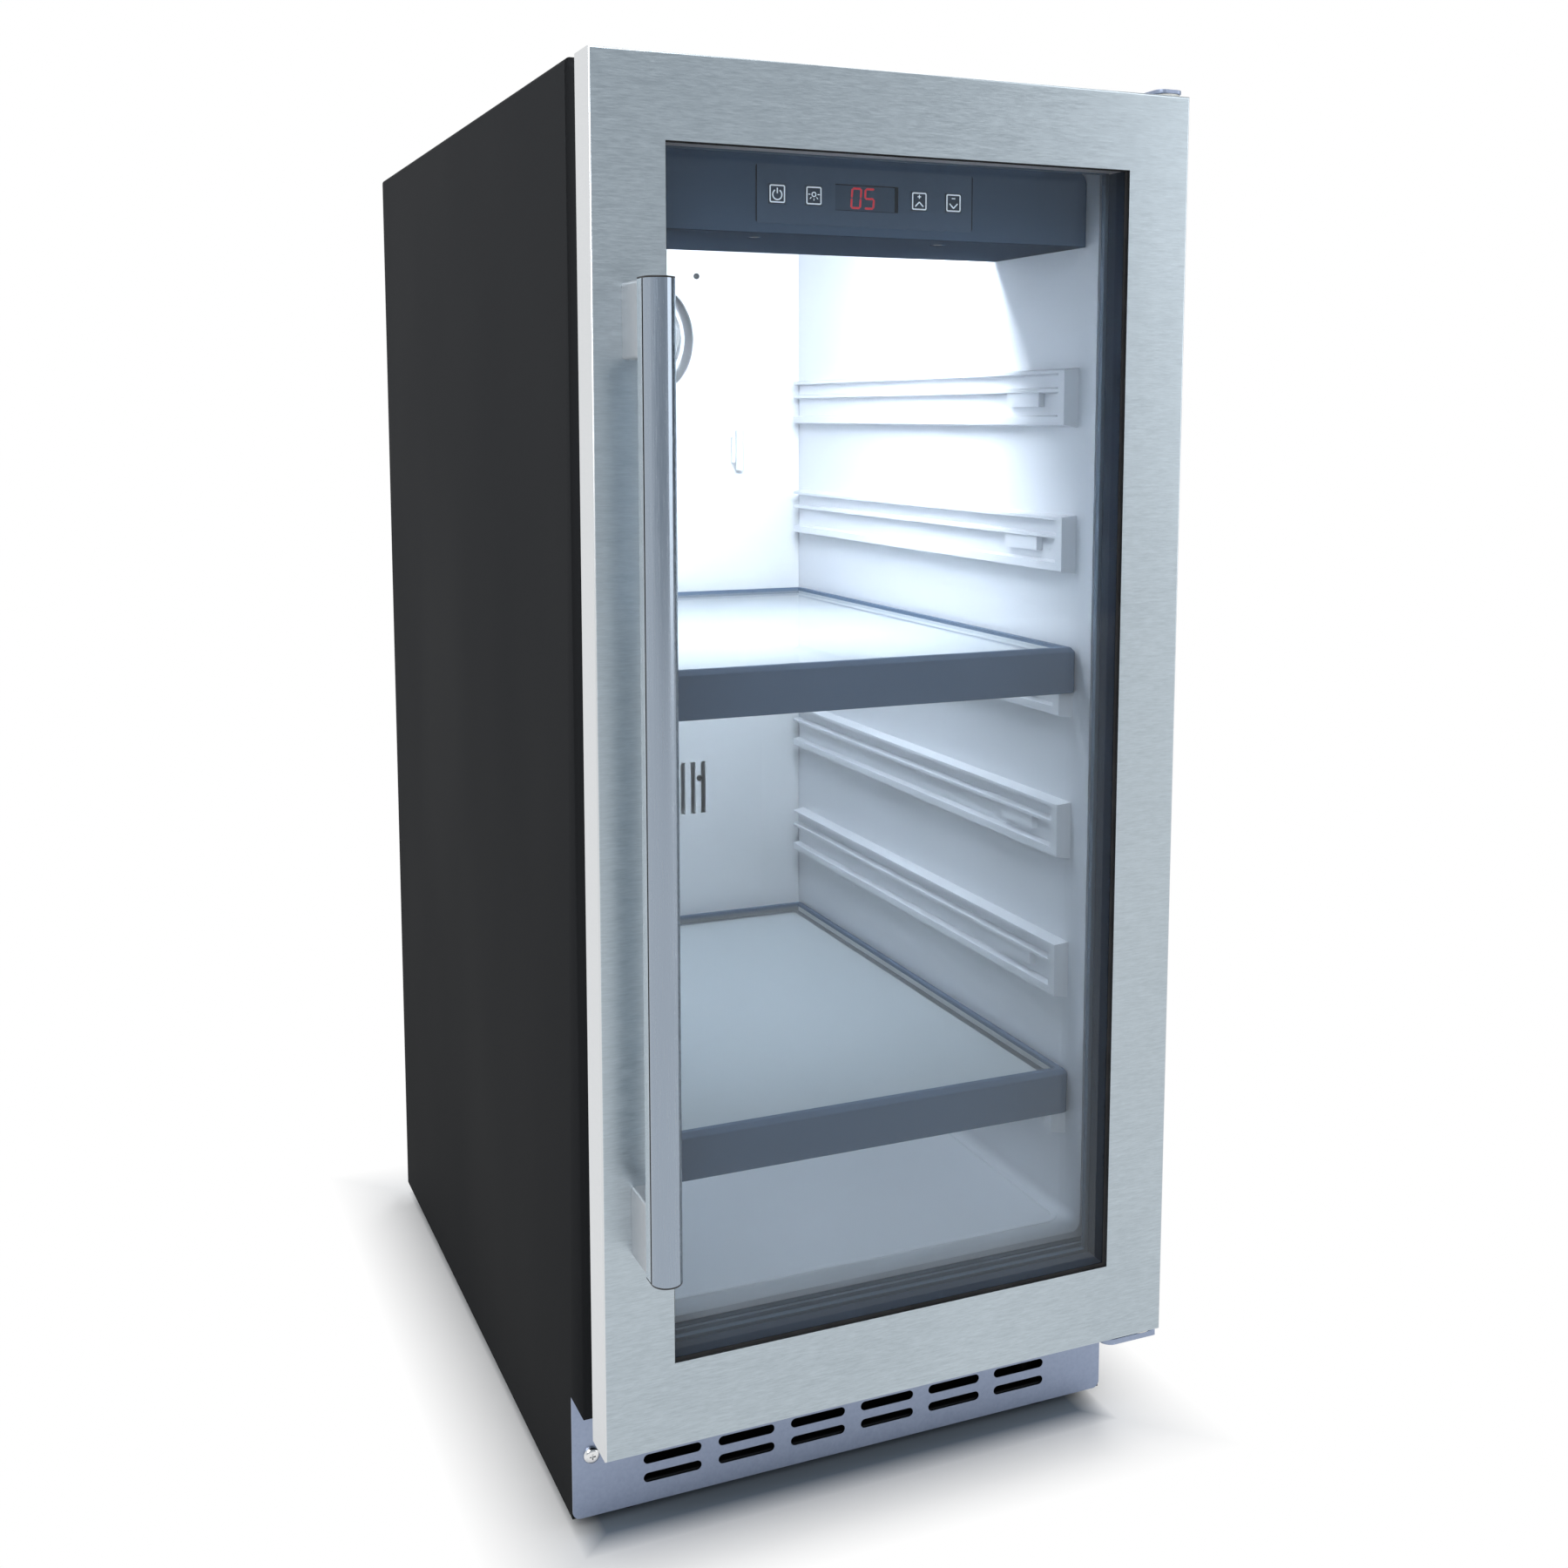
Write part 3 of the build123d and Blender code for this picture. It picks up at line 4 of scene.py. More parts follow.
import bpy
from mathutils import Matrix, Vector


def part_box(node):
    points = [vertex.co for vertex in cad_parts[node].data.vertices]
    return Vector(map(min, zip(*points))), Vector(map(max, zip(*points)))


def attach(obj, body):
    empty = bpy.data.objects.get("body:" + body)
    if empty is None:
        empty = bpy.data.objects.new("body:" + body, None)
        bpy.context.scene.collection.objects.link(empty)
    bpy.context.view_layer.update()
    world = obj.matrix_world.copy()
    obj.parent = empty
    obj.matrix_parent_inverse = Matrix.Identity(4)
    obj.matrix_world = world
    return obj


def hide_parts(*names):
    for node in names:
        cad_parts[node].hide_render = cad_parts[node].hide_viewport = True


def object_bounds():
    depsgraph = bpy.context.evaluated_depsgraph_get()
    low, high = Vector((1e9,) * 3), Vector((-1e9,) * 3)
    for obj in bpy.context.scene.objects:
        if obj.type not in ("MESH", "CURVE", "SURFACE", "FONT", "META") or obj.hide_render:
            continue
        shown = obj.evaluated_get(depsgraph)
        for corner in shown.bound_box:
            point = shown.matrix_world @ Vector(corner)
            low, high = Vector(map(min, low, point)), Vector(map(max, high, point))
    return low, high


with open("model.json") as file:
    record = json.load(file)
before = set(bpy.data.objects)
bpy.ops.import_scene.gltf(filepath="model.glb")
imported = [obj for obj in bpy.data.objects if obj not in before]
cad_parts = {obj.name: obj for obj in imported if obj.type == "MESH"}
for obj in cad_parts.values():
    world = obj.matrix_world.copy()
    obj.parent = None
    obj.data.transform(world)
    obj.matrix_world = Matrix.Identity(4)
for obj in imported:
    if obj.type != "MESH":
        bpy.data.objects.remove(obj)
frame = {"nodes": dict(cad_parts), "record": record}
cad_low, cad_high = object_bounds()
bpy.ops.object.select_all(action="DESELECT")

nodes = frame["nodes"]
bodies = frame["record"]["behaviour"]["bodies"]
body_of_node = {node: body for body, members in bodies.items() for node in members}
slot_of_node = {part["node"]: part["material_slot"] for part in frame["record"]["subparts"]}
MM = 0.001
HAIR = 1e-6  # points this close are one
PRINT = 0.08 * MM  # thickness of print
# Painted light: between these heights paint and brushed steel are painted paler towards the top
PAINT_PAINTED_LIGHT = (0.05, 0.85)  # heights between which paint grows paler, in metres
STEEL_PAINTED_LIGHT = (0.1, 0.88)  # the same for brushed steel

# Which way a piece modelled standing up is turned to lie on a face
UPWARDS = (0, 0, 0)
FORWARDS = (math.radians(90), 0, 0)
BACKWARDS = (math.radians(-90), 0, 0)
DOWNWARDS = (math.radians(180), 0, 0)


# Modelling by hand: small steps that the pieces below are made from


def choose(piece, kind, test):
    """Go to edit mode with the piece's edges or faces chosen by their place."""
    bpy.ops.object.mode_set(mode="EDIT")
    bpy.ops.mesh.select_mode(type=kind)
    bpy.ops.mesh.select_all(action="DESELECT")
    bpy.ops.object.mode_set(mode="OBJECT")
    mesh = piece.data
    if kind == "FACE":
        for face in mesh.polygons:
            face.select = test(face.center, face.normal)
    else:
        for edge in mesh.edges:
            a, b = (mesh.vertices[i].co for i in edge.vertices)
            edge.select = test((a + b) / 2, b - a)
    bpy.ops.object.mode_set(mode="EDIT")


def choose_all():
    """Go to edit mode with everything chosen."""
    bpy.ops.object.mode_set(mode="EDIT")
    bpy.ops.mesh.select_all(action="SELECT")


def settle(piece):
    """Leave edit mode and put the piece's place into its mesh."""
    bpy.ops.object.mode_set(mode="OBJECT")
    bpy.ops.object.transform_apply(location=True, rotation=True, scale=True)
    return piece


def begin(add, name, scale=(1, 1, 1), **settings):
    """Add a primitive with nothing else chosen, name it and put its place into its mesh."""
    bpy.ops.object.select_all(action="DESELECT")
    add(**settings)
    piece = bpy.context.object
    piece.name = name
    piece.data.name = name
    piece.scale = scale
    return settle(piece)


def only(piece):
    """Make this the one chosen object."""
    bpy.ops.object.select_all(action="DESELECT")
    piece.select_set(True)
    bpy.context.view_layer.objects.active = piece


def joined(pieces, name):
    """One object from several."""
    only(pieces[0])
    for piece in pieces:
        piece.select_set(True)
    if len(pieces) > 1:
        bpy.ops.object.join()
    whole = bpy.context.object
    whole.name = name
    whole.data.name = name
    return whole


def copied(piece, name, place=(0, 0, 0), turn=UPWARDS):
    """A copy with its own mesh, turned about the origin and then moved."""
    only(piece)
    bpy.ops.object.duplicate(linked=False)
    twin = bpy.context.object
    twin.name = name
    twin.data.name = name
    twin.rotation_euler = turn
    twin.location = place
    bpy.ops.object.transform_apply(location=True, rotation=True, scale=True)
    return twin


def refine(piece, kind, **settings):
    """Add a modifier and apply it."""
    only(piece)
    modifier = piece.modifiers.new(kind.title(), kind)
    for key, value in settings.items():
        setattr(modifier, key, value)
    bpy.ops.object.modifier_apply(modifier=modifier.name)
    return piece


def cut(piece, cutter):
    """Take one shape out of another."""
    refine(piece, "BOOLEAN", operation="DIFFERENCE", solver="EXACT", object=cutter)
    bpy.data.objects.remove(cutter)
    return piece


def smooth(piece, degrees=35):
    """Smooth shading that keeps the sharp edges."""
    only(piece)
    bpy.ops.object.shade_smooth_by_angle(angle=math.radians(degrees))
    return piece


def outward(piece):
    """Merge doubles and turn all faces outwards."""
    only(piece)
    choose_all()
    bpy.ops.mesh.remove_doubles(threshold=HAIR)
    bpy.ops.mesh.normals_make_consistent(inside=False)
    bpy.ops.object.mode_set(mode="OBJECT")
    return piece


def finish_piece(piece, material):
    """Give a piece this one material."""
    piece.data.materials.clear()
    piece.data.materials.append(material)
    return piece


def fitted(piece, node, slot=None, material=None):
    """Let a new piece ride with a CAD node's body, with that node's slot or another."""
    slot = slot or slot_of_node[node]
    finish_piece(piece, material or finishes[slot])
    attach(piece, body_of_node[node])
    return piece


def eased(node, width, steps=2, limit=40):
    """A merged copy of a CAD piece with its edges eased, shown in its place."""
    piece = copied(nodes[node], f"{node}_finished")
    for key in list(piece.keys()):
        if key.startswith("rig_"):
            del piece[key]
    piece.parent = None
    choose_all()
    bpy.ops.mesh.remove_doubles(threshold=2 * HAIR)
    if width:
        nearly_flat = math.radians(1.0)
        bpy.ops.mesh.dissolve_limited(angle_limit=nearly_flat)
    bpy.ops.object.mode_set(mode="OBJECT")
    if width:
        refine(
            piece,
            "BEVEL",
            width=width,
            segments=steps,
            limit_method="ANGLE",
            angle_limit=math.radians(limit),
            use_clamp_overlap=True,
        )
    smooth(piece)
    refine(piece, "WEIGHTED_NORMAL", keep_sharp=True)
    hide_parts(node)
    return fitted(piece, node)


# Finishes: shader sums written as Python expressions


class Value:
    """A shader output. Sums with it add Math nodes."""

    def __init__(self, wiring, out):
        self.wiring = wiring
        self.out = out

    def math(self, operation, first, second=0.0):
        return self.wiring.node("ShaderNodeMath", {"operation": operation}, {0: first, 1: second})

    def __add__(self, other):
        return self.math("ADD", self, other)

    def __radd__(self, other):
        return self.math("ADD", other, self)

    def __sub__(self, other):
        return self.math("SUBTRACT", self, other)

    def __rsub__(self, other):
        return self.math("SUBTRACT", other, self)

    def __mul__(self, other):
        return self.math("MULTIPLY", self, other)

    def __rmul__(self, other):
        return self.math("MULTIPLY", other, self)

    def __lt__(self, other):
        return self.math("LESS_THAN", self, other)

    def __gt__(self, other):
        return self.math("GREATER_THAN", self, other)

    def __abs__(self):
        return self.math("ABSOLUTE", self)

    def most(self, other):
        return self.math("MAXIMUM", self, other)


class Wiring:
    """A node tree and the nodes that are made in it."""

    def __init__(self, tree, end):
        self.tree = tree
        tree.nodes.clear()
        self.end = tree.nodes.new(end)

    def node(self, kind, settings=None, values=None, out=0):
        """Make a node: its settings first, then its sockets' values or links."""
        made = self.tree.nodes.new(kind)
        for key, value in (settings or {}).items():
            setattr(made, key, value)
        for key, value in (values or {}).items():
            if isinstance(value, Value):
                self.tree.links.new(value.out, made.inputs[key])
            else:
                made.inputs[key].default_value = value
        return Value(self, made.outputs[out])

    def part(self, vector, name):
        """One axis of a vector."""
        return self.node("ShaderNodeSeparateXYZ", None, {0: vector}, out=name)

    def spread(self, value, low, high, out_low=0.0, out_high=1.0):
        """Stretch a value's useful range."""
        values = {0: value, 1: low, 2: high, 3: out_low, 4: out_high}
        return self.node("ShaderNodeMapRange", {"clamp": True}, values)

    def blend(self, amount, first, second):
        """Mix of two colours."""
        values = {0: amount}
        for socket, colour in ((6, first), (7, second)):
            values[socket] = (*colour, 1) if isinstance(colour, tuple) else colour
        return self.node("ShaderNodeMix", {"data_type": "RGBA"}, values, out=2)

    def either(self, amount, first, second):
        """Mix of two shaders."""
        return self.node("ShaderNodeMixShader", None, {0: amount, 1: first, 2: second})

    def ray(self, kind):
        """One where the light path is of this kind."""
        return self.node("ShaderNodeLightPath", out=f"Is {kind} Ray")

    def shown(self):
        """One where a surface is looked at, straight on, in a reflection or through glass."""
        return self.ray("Camera").most(self.ray("Glossy")).most(self.ray("Transmission"))

    def done(self, shader):
        self.tree.links.new(shader.out, self.end.inputs["Surface"])


class Finish(Wiring):
    """A material built from nodes on object coordinates."""

    def __init__(self, name):
        self.material = bpy.data.materials.new(name)
        self.material.use_nodes = True
        super().__init__(self.material.node_tree, "ShaderNodeOutputMaterial")
        self.object_place = self.node("ShaderNodeTexCoord", out="Object")

    def place(self, stretch):
        """Object coordinates, stretched."""
        return self.node("ShaderNodeMapping", None, {"Vector": self.object_place, "Scale": stretch})

    def axis(self, name):
        """One object coordinate, in metres."""
        return self.part(self.object_place, name)

    def noise(self, stretch, detail=2.0, rough=0.55):
        """Noise from 0 to 1 whose patches are one over the stretch, in metres."""
        if not isinstance(stretch, tuple):
            stretch = (stretch, stretch, stretch)
        values = {"Vector": self.place(stretch), "Scale": 1.0, "Detail": detail, "Roughness": rough}
        return self.node("ShaderNodeTexNoise", {"noise_dimensions": "3D"}, values)

    def cells(self, stretch, metric, out):
        """Cells that fill space, one over the stretch across, in metres."""
        settings = {"voronoi_dimensions": "3D", "feature": "F1", "distance": metric}
        values = {"Vector": self.place((stretch, stretch, stretch)), "Scale": 1.0}
        return self.node("ShaderNodeTexVoronoi", settings, values, out=out)

    def stripes(self, scale, distortion=0.0):
        """Lines across the X axis."""
        settings = {"wave_type": "BANDS", "bands_direction": "X"}
        values = {"Vector": self.object_place, "Scale": scale, "Distortion": distortion}
        return self.node("ShaderNodeTexWave", settings, values)

    def bump(self, height, depth, strength=1.0):
        """Normal from a height of this many metres."""
        return self.node("ShaderNodeBump", None, {"Height": height, "Distance": depth, "Strength": strength})

    def surface(self, **values):
        """Principled surface; names use _ for a space."""
        named = {key.replace("_", " "): value for key, value in values.items()}
        for key, value in named.items():
            if isinstance(value, tuple):
                named[key] = (*value, 1)
        return self.node("ShaderNodeBsdfPrincipled", None, named)

    def made(self, **values):
        """Finish the material with one principled surface."""
        self.done(self.surface(**values))
        return self.material


def satin_paint(name, dark, light, rough, gloss):
    """Sprayed paint with a faint orange peel, painted a little paler towards the top as painted light from
    above.
    """
    f = Finish(name)
    cloud = f.noise((4, 4, 2.2))
    peel = f.noise(700)
    # painted light: the paint grows paler towards the top
    rise = f.spread(f.axis("Z"), *PAINT_PAINTED_LIGHT)
    return f.made(
        Base_Color=f.blend(cloud * 0.3 + rise * 0.7, dark, light),
        Roughness=f.spread(cloud, 0.3, 0.7, rough - 0.05, rough + 0.06),
        Specular_IOR_Level=gloss,
        Normal=f.bump(peel, 0.00012, 0.5),
    )


def brushed(
    name,
    dark,
    light,
    rough,
    stretch,
    metal=1.0,
    depth=0.00004,
    rise=None,
    edge_highlight=None,
    slot_shade=None,
    groove=None,
):
    """Brushed metal: short streaks, broader drifts and a slow change of tone.

    It may be painted paler towards the top as painted light, with a painted highlight at its sides, painted
    shade in its slots, and at a groove a painted shade line beside a painted highlight.
    """
    f = Finish(name)
    fine = f.noise(stretch, 3.0, 0.6)
    broad = f.noise(tuple(s * 0.35 for s in stretch))
    cloud = f.noise((5, 5, 3), 1.5)
    streak = f.spread(fine * 0.7 + broad * 0.3, 0.32, 0.68)
    tone = streak * 0.75 + f.spread(cloud, 0.35, 0.65) * 0.25
    colour = f.blend(tone, dark, light)
    # painted light: the metal turns paler towards the top
    if rise:
        colour = f.blend(f.spread(f.axis("Z"), *STEEL_PAINTED_LIGHT, 0.0, 0.35), colour, rise)
    # painted highlight: beyond half_width the sides are painted pale
    if edge_highlight:
        half_width, pale = edge_highlight
        colour = f.blend((abs(f.axis("X")) > half_width) * 0.85, colour, pale)
    # painted shade: the slot walls behind the front face are painted near black
    if slot_shade:
        half_width, front = slot_shade
        inside = (abs(f.axis("X")) < half_width) * (f.axis("Y") > front)
        colour = f.blend(inside, colour, (0.012, 0.013, 0.016))
    # painted shade and light: a dark line is painted along the groove, and the flat side behind it is
    # painted pale as a painted highlight
    if groove:
        groove_y, pale = groove
        half_line = 0.95 * MM
        behind = f.axis("Y") - groove_y
        colour = f.blend(behind > 0.0, colour, pale)
        colour = f.blend(abs(behind) < half_line, colour, (0.020, 0.022, 0.025))
    return f.made(
        Base_Color=colour,
        Metallic=metal,
        Roughness=rough - 0.06 + streak * 0.12,
        Normal=f.bump(streak, depth, 0.6),
    )


def moulded(name, dark, light, rough, grain=1400, depth=0.00005, gloss=0.5, below=None, above=None):
    """Moulded plastic with a fine spark-eroded grain, with painted light or painted shade below or above a
    height.
    """
    f = Finish(name)
    cloud = f.noise(9)
    fine = f.noise(grain)
    colour = f.blend(cloud * 0.6 + fine * 0.4, dark, light)
    # painted light or painted shade below and above the given heights
    if below:
        height, shade = below
        colour = f.blend(f.axis("Z") < height, colour, shade)
    if above:
        height, shade = above
        colour = f.blend(f.axis("Z") > height, colour, shade)
    return f.made(
        Base_Color=colour,
        Roughness=f.spread(fine, 0.3, 0.7, rough - 0.05, rough + 0.06),
        Specular_IOR_Level=gloss,
        Normal=f.bump(fine, depth, 0.6),
    )


def galvanised_sheet():
    """Zinc-coated sheet: a fine spangle, faint rolling lines and a slow change of tone."""
    f = Finish("zinc_sheet")
    grey = f.part(f.cells(260, "EUCLIDEAN", "Color"), "X")
    rolled = f.noise((500, 500, 6), 3.0)
    cloud = f.noise((5, 5, 2.5), 1.5)
    tone = grey * 0.3 + f.spread(rolled, 0.3, 0.7) * 0.35 + f.spread(cloud, 0.3, 0.7) * 0.35
    return f.made(
        Base_Color=f.blend(tone, (0.36, 0.375, 0.385), (0.45, 0.465, 0.475)),
        Metallic=1.0,
        Roughness=0.36 + grey * 0.10 + cloud * 0.08,
        Normal=f.bump(cloud, 0.0004, 0.3),
    )


def liner_plastic():
    """White vacuum-formed liner with a soft sheen."""
    f = Finish("liner_plastic")
    cloud = f.noise(6)
    ripple = f.noise(45)
    fine = f.noise(900)
    return f.made(
        Base_Color=f.blend(cloud, (0.72, 0.735, 0.77), (0.78, 0.79, 0.82)),
        Roughness=f.spread(fine, 0.3, 0.7, 0.30, 0.40),
        Normal=f.bump(ripple * 0.8 + fine * 0.2, 0.00025, 0.35),
    )


def insulation(back):
    """Poured foam with open cells, taped over at the back."""
    f = Finish("insulation")
    cell = f.noise(420, 3.0)
    tape = 2.5 * MM
    foam = f.blend(cell, (0.66, 0.58, 0.40), (0.82, 0.76, 0.58))
    return f.made(
        Base_Color=f.blend(f.axis("Y") > back - tape, foam, (0.022, 0.023, 0.025)),
        Roughness=0.9,
        Normal=f.bump(cell, 0.0006, 0.8),
    )


def chrome():
    """Polished metal with hairline marks."""
    f = Finish("polished_metal")
    mark = f.noise((260, 260, 2200))
    return f.made(
        Base_Color=f.blend(mark, (0.70, 0.71, 0.72), (0.82, 0.82, 0.82)),
        Metallic=1.0,
        Roughness=f.spread(mark, 0.3, 0.7, 0.08, 0.18),
    )


def rubber(name, dark, light, grain=0.00006):
    """Matt rubber with a little dust."""
    f = Finish(name)
    dust = f.noise(60, 3.0)
    fine = f.noise(1500)
    return f.made(
        Base_Color=f.blend(f.spread(dust, 0.35, 0.75), dark, light),
        Roughness=f.spread(fine, 0.3, 0.7, 0.55, 0.72),
        Specular_IOR_Level=0.2,
        Normal=f.bump(fine, grain, 0.6),
    )


def clear_glass(name, mirror, least):
    """Clear pane: mostly see-through, with a sheen that grows at a slant."""
    f = Finish(name)
    smear = f.noise((7, 7, 5))
    clear = f.node("ShaderNodeBsdfTransparent", None, {"Color": (0.955, 0.972, 0.985, 1)})
    sheen = f.surface(
        Base_Color=(0.90, 0.94, 0.96),
        Metallic=mirror,
        Roughness=f.spread(smear, 0.3, 0.7, 0.02, 0.05),
    )
    fresnel = f.node("ShaderNodeFresnel", None, {"IOR": 1.31})
    f.done(f.either(f.spread(fresnel, 0.0, 1.0, least, 0.8), clear, sheen))
    return f.material


def panel_film(half_width):
    """Printed film of the control panel: slate with a dark line down each end."""
    f = Finish("panel_film")
    fine = f.noise(2200)
    printed_slate = f.blend(fine, *slate)
    line_width = 0.8 * MM
    end_line = abs(f.axis("X")) > half_width - line_width
    return f.made(
        Base_Color=f.blend(end_line, printed_slate, (0.012, 0.016, 0.026)),
        Roughness=0.40,
        Specular_IOR_Level=0.25,
        Normal=f.bump(fine, 0.00003, 0.5),
    )


def display_filter(low, high):
    """Slate filter over the digits, with painted shade of its recess: a dark line round it and a broader one
    at its right end.
    """
    f = Finish("display_filter")
    fine = f.noise(2500)
    line_inset = 1.5 * MM
    right_share = 0.87
    # painted shade: dark lines round the filter, broadest at the right end
    right_recess_shade = f.axis("X") > high[0] * right_share
    left_recess_shade = f.axis("X") < low[0] + line_inset
    level = abs(f.axis("Z") - (low[2] + high[2]) / 2) > (high[2] - low[2]) / 2 - line_inset
    tint = f.blend(fine, (0.072, 0.106, 0.160), (0.088, 0.129, 0.190))
    colour = f.blend(right_recess_shade.most(left_recess_shade).most(level), tint, (0.007, 0.009, 0.014))
    return f.made(Base_Color=colour, Roughness=0.30, Specular_IOR_Level=0.3)


def circuit_board():
    """Green board with paler tracks."""
    f = Finish("circuit_board")
    line = f.spread(f.cells(260, "MANHATTAN", "Distance"), 0.42, 0.48)
    return f.made(
        Base_Color=f.blend(line, (0.02, 0.13, 0.055), (0.05, 0.24, 0.11)),
        Roughness=0.38,
        Normal=f.bump(line, 0.00005, 0.5),
    )


def lamp_cover():
    """Frosted lamp cover, lit from inside by a row of lamps."""
    f = Finish("lamp_cover")
    spots = f.stripes(15.7)
    fall = 1 - abs(f.axis("X")) * 4
    return f.made(
        Base_Color=(0.88, 0.89, 0.90),
        Roughness=0.45,
        Emission_Color=f.blend(spots * 0.3 + fall * 0.5, (0.80, 0.86, 0.95), (1.0, 1.0, 1.0)),
        Emission_Strength=1.0,
    )


def coil_fins():
    """Thin aluminium fins, drawn as close lines across the coil, with painted shade in the gaps between
    them.
    """
    f = Finish("coil_fins")
    fin = f.stripes(180.0, 0.3)
    dust = f.noise(40, 3.0)
    return f.made(
        Base_Color=f.blend(fin * 0.7 + dust * 0.3, (0.30, 0.31, 0.32), (0.74, 0.75, 0.76)),
        Metallic=0.95,
        Roughness=0.40,
        Normal=f.bump(fin, 0.0006, 0.6),
    )


def copper_pipe():
    """Drawn copper, tarnished in patches."""
    f = Finish("copper_pipe")
    tarnish = f.spread(f.noise(55, 4.0), 0.35, 0.7)
    return f.made(
        Base_Color=f.blend(tarnish, (0.74, 0.36, 0.22), (0.40, 0.19, 0.12)),
        Metallic=1.0,
        Roughness=0.26 + tarnish * 0.2,
    )


def ink(name, colour, glow):
    """Print on the panel, with a fine grain and a faint light behind it."""
    f = Finish(name)
    shade = f.blend(f.noise(1800), tuple(c * 0.9 for c in colour), colour)
    return f.made(Base_Color=shade, Roughness=0.45, Emission_Color=shade, Emission_Strength=glow)


film_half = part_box("control_overlay")[1][0]
housing_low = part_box("control_housing")[0]
display_low, display_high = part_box("display_module")
door_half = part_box("door_frame")[1][0]
# Painted highlight: the door's side return is painted pale
return_depth = 0.9 * MM
door_return_highlight = (door_half - return_depth, (0.74, 0.75, 0.76))
# Painted shade: the underside of the control housing is painted dark
housing_skin = 0.5 * MM
housing_shade = (housing_low[2] + housing_skin, (0.034, 0.048, 0.072))
# Painted light: the spacer's top and bottom bars, where light from inside falls, are painted paler
spacer_low, spacer_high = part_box("glass_spacer")
spacer_bar = 8.5 * MM
spacer_top_painted_light = (spacer_high[2] - spacer_bar, (0.42, 0.40, 0.41))
spacer_bottom_painted_light = (spacer_low[2] + spacer_bar, (0.078, 0.100, 0.140))
# Painted shade along the handle's groove and a painted highlight on the flat side behind it
handle_flat = 8.7 * MM
handle_groove_painted_light = (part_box("handle_bar")[1][1] - handle_flat, (0.80, 0.85, 0.89))
kick_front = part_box("kick_plate")[0][1]
# Painted shade in the kick plate's slots
kick_skin = 0.3 * MM
slots_half_width = 150 * MM
kick_slot_shade = (slots_half_width, kick_front + kick_skin)

black = (0.0105, 0.0112, 0.0122), (0.031, 0.0325, 0.0355)
slate = (0.097, 0.138, 0.203), (0.118, 0.166, 0.243)
steel = (0.36, 0.415, 0.455), (0.51, 0.58, 0.63)
handle = (0.30, 0.355, 0.425), (0.335, 0.39, 0.46)
satin = (0.275, 0.33, 0.45), (0.345, 0.40, 0.53)
# Colour of the painted light on the door steel towards the top
steel_painted_top_light = (0.62, 0.69, 0.735)
compressor_black = (0.008, 0.008, 0.009), (0.017, 0.017, 0.018)
key_slate = (0.048, 0.066, 0.100), (0.060, 0.082, 0.122)
short_level_streaks = (170, 170, 1500)
long_upright_streaks = (1500, 1500, 60)
fine_grain = (420, 420, 420)
finishes = {
    "cabinet_black": satin_paint("satin_black_paint", *black, 0.66, 0.02),
    "galvanised": galvanised_sheet(),
    "foam": insulation(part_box("foam_insulation")[1][1]),
    "liner_white": liner_plastic(),
    "door_steel": brushed(
        "brushed_door_steel",
        *steel,
        0.34,
        short_level_streaks,
        rise=steel_painted_top_light,
        edge_highlight=door_return_highlight,
    ),
    "handle_metal": brushed(
        "satin_handle_metal",
        *handle,
        0.24,
        long_upright_streaks,
        depth=0.00001,
        groove=handle_groove_painted_light,
    ),
    "bright_metal": chrome(),
    "hinge_metal": brushed("satin_grey_metal", *satin, 0.42, fine_grain, metal=0.85, depth=0.00003),
    "dark_plastic": moulded("slate_plastic", *slate, 0.56, gloss=0.06),
    "black_plastic": moulded("black_plastic", (0.009, 0.009, 0.010), (0.016, 0.016, 0.018), 0.44),
    "rubber_black": rubber("black_rubber", (0.010, 0.010, 0.011), (0.020, 0.020, 0.021)),
    "clear_glass": clear_glass("door_pane_glass", 1.0, 0.0),
    "overlay_film": panel_film(film_half),
    "display_dark": display_filter(display_low, display_high),
    "key_dark": moulded("key_slate", *key_slate, 0.40, 2200, 0.00003, 0.25),
    "board_green": circuit_board(),
    "lamp_white": lamp_cover(),
    "white_plastic": moulded("white_plastic", (0.76, 0.775, 0.79), (0.83, 0.84, 0.85), 0.38, 900, 0.00004),
    "compressor_black": satin_paint("compressor_paint", *compressor_black, 0.32, 0.5),
    "coil_metal": coil_fins(),
    "copper": copper_pipe(),
    "nylon": moulded("nylon", (0.66, 0.66, 0.62), (0.76, 0.76, 0.72), 0.45),
}
housing_plastic = moulded("housing_slate_plastic", *slate, 0.8, gloss=0.0, below=housing_shade)
# Painted light: a paler, lit copy of the slate plastic for the door's inner frame
inner_frame_plastic = moulded(
    "lit_slate_plastic",
    (0.15, 0.19, 0.24),
    (0.18, 0.225, 0.28),
    0.56,
    depth=0.00001,
    gloss=0.06,
)
# Painted shade: a darker, shaded copy of the slate plastic for the glass spacer
spacer_plastic = moulded(
    "shaded_slate_plastic",
    (0.018, 0.028, 0.048),
    (0.024, 0.037, 0.060),
    0.56,
    gloss=0.06,
    below=spacer_bottom_painted_light,
    above=spacer_top_painted_light,
)
grey_rubber = rubber("grey_gasket_rubber", (0.15, 0.18, 0.22), (0.18, 0.21, 0.255), 0.00001)
post_metal = brushed(
    "satin_post_metal",
    (0.58, 0.59, 0.61),
    (0.65, 0.66, 0.68),
    0.40,
    fine_grain,
    metal=0.9,
    depth=0.00002,
)
kick_metal = brushed("satin_kick_metal", *satin, 0.42, fine_grain, 0.85, 0.00003, slot_shade=kick_slot_shade)
shelf_glass = clear_glass("shelf_glass", 0.0, 0.03)
white_ink = ink("white_ink", (0.80, 0.84, 0.88), 0.5)
red_glow = ink("red_digit_glow", (0.52, 0.025, 0.036), 0.65)

for name, node in nodes.items():
    finish_piece(node, finishes[slot_of_node[name]])

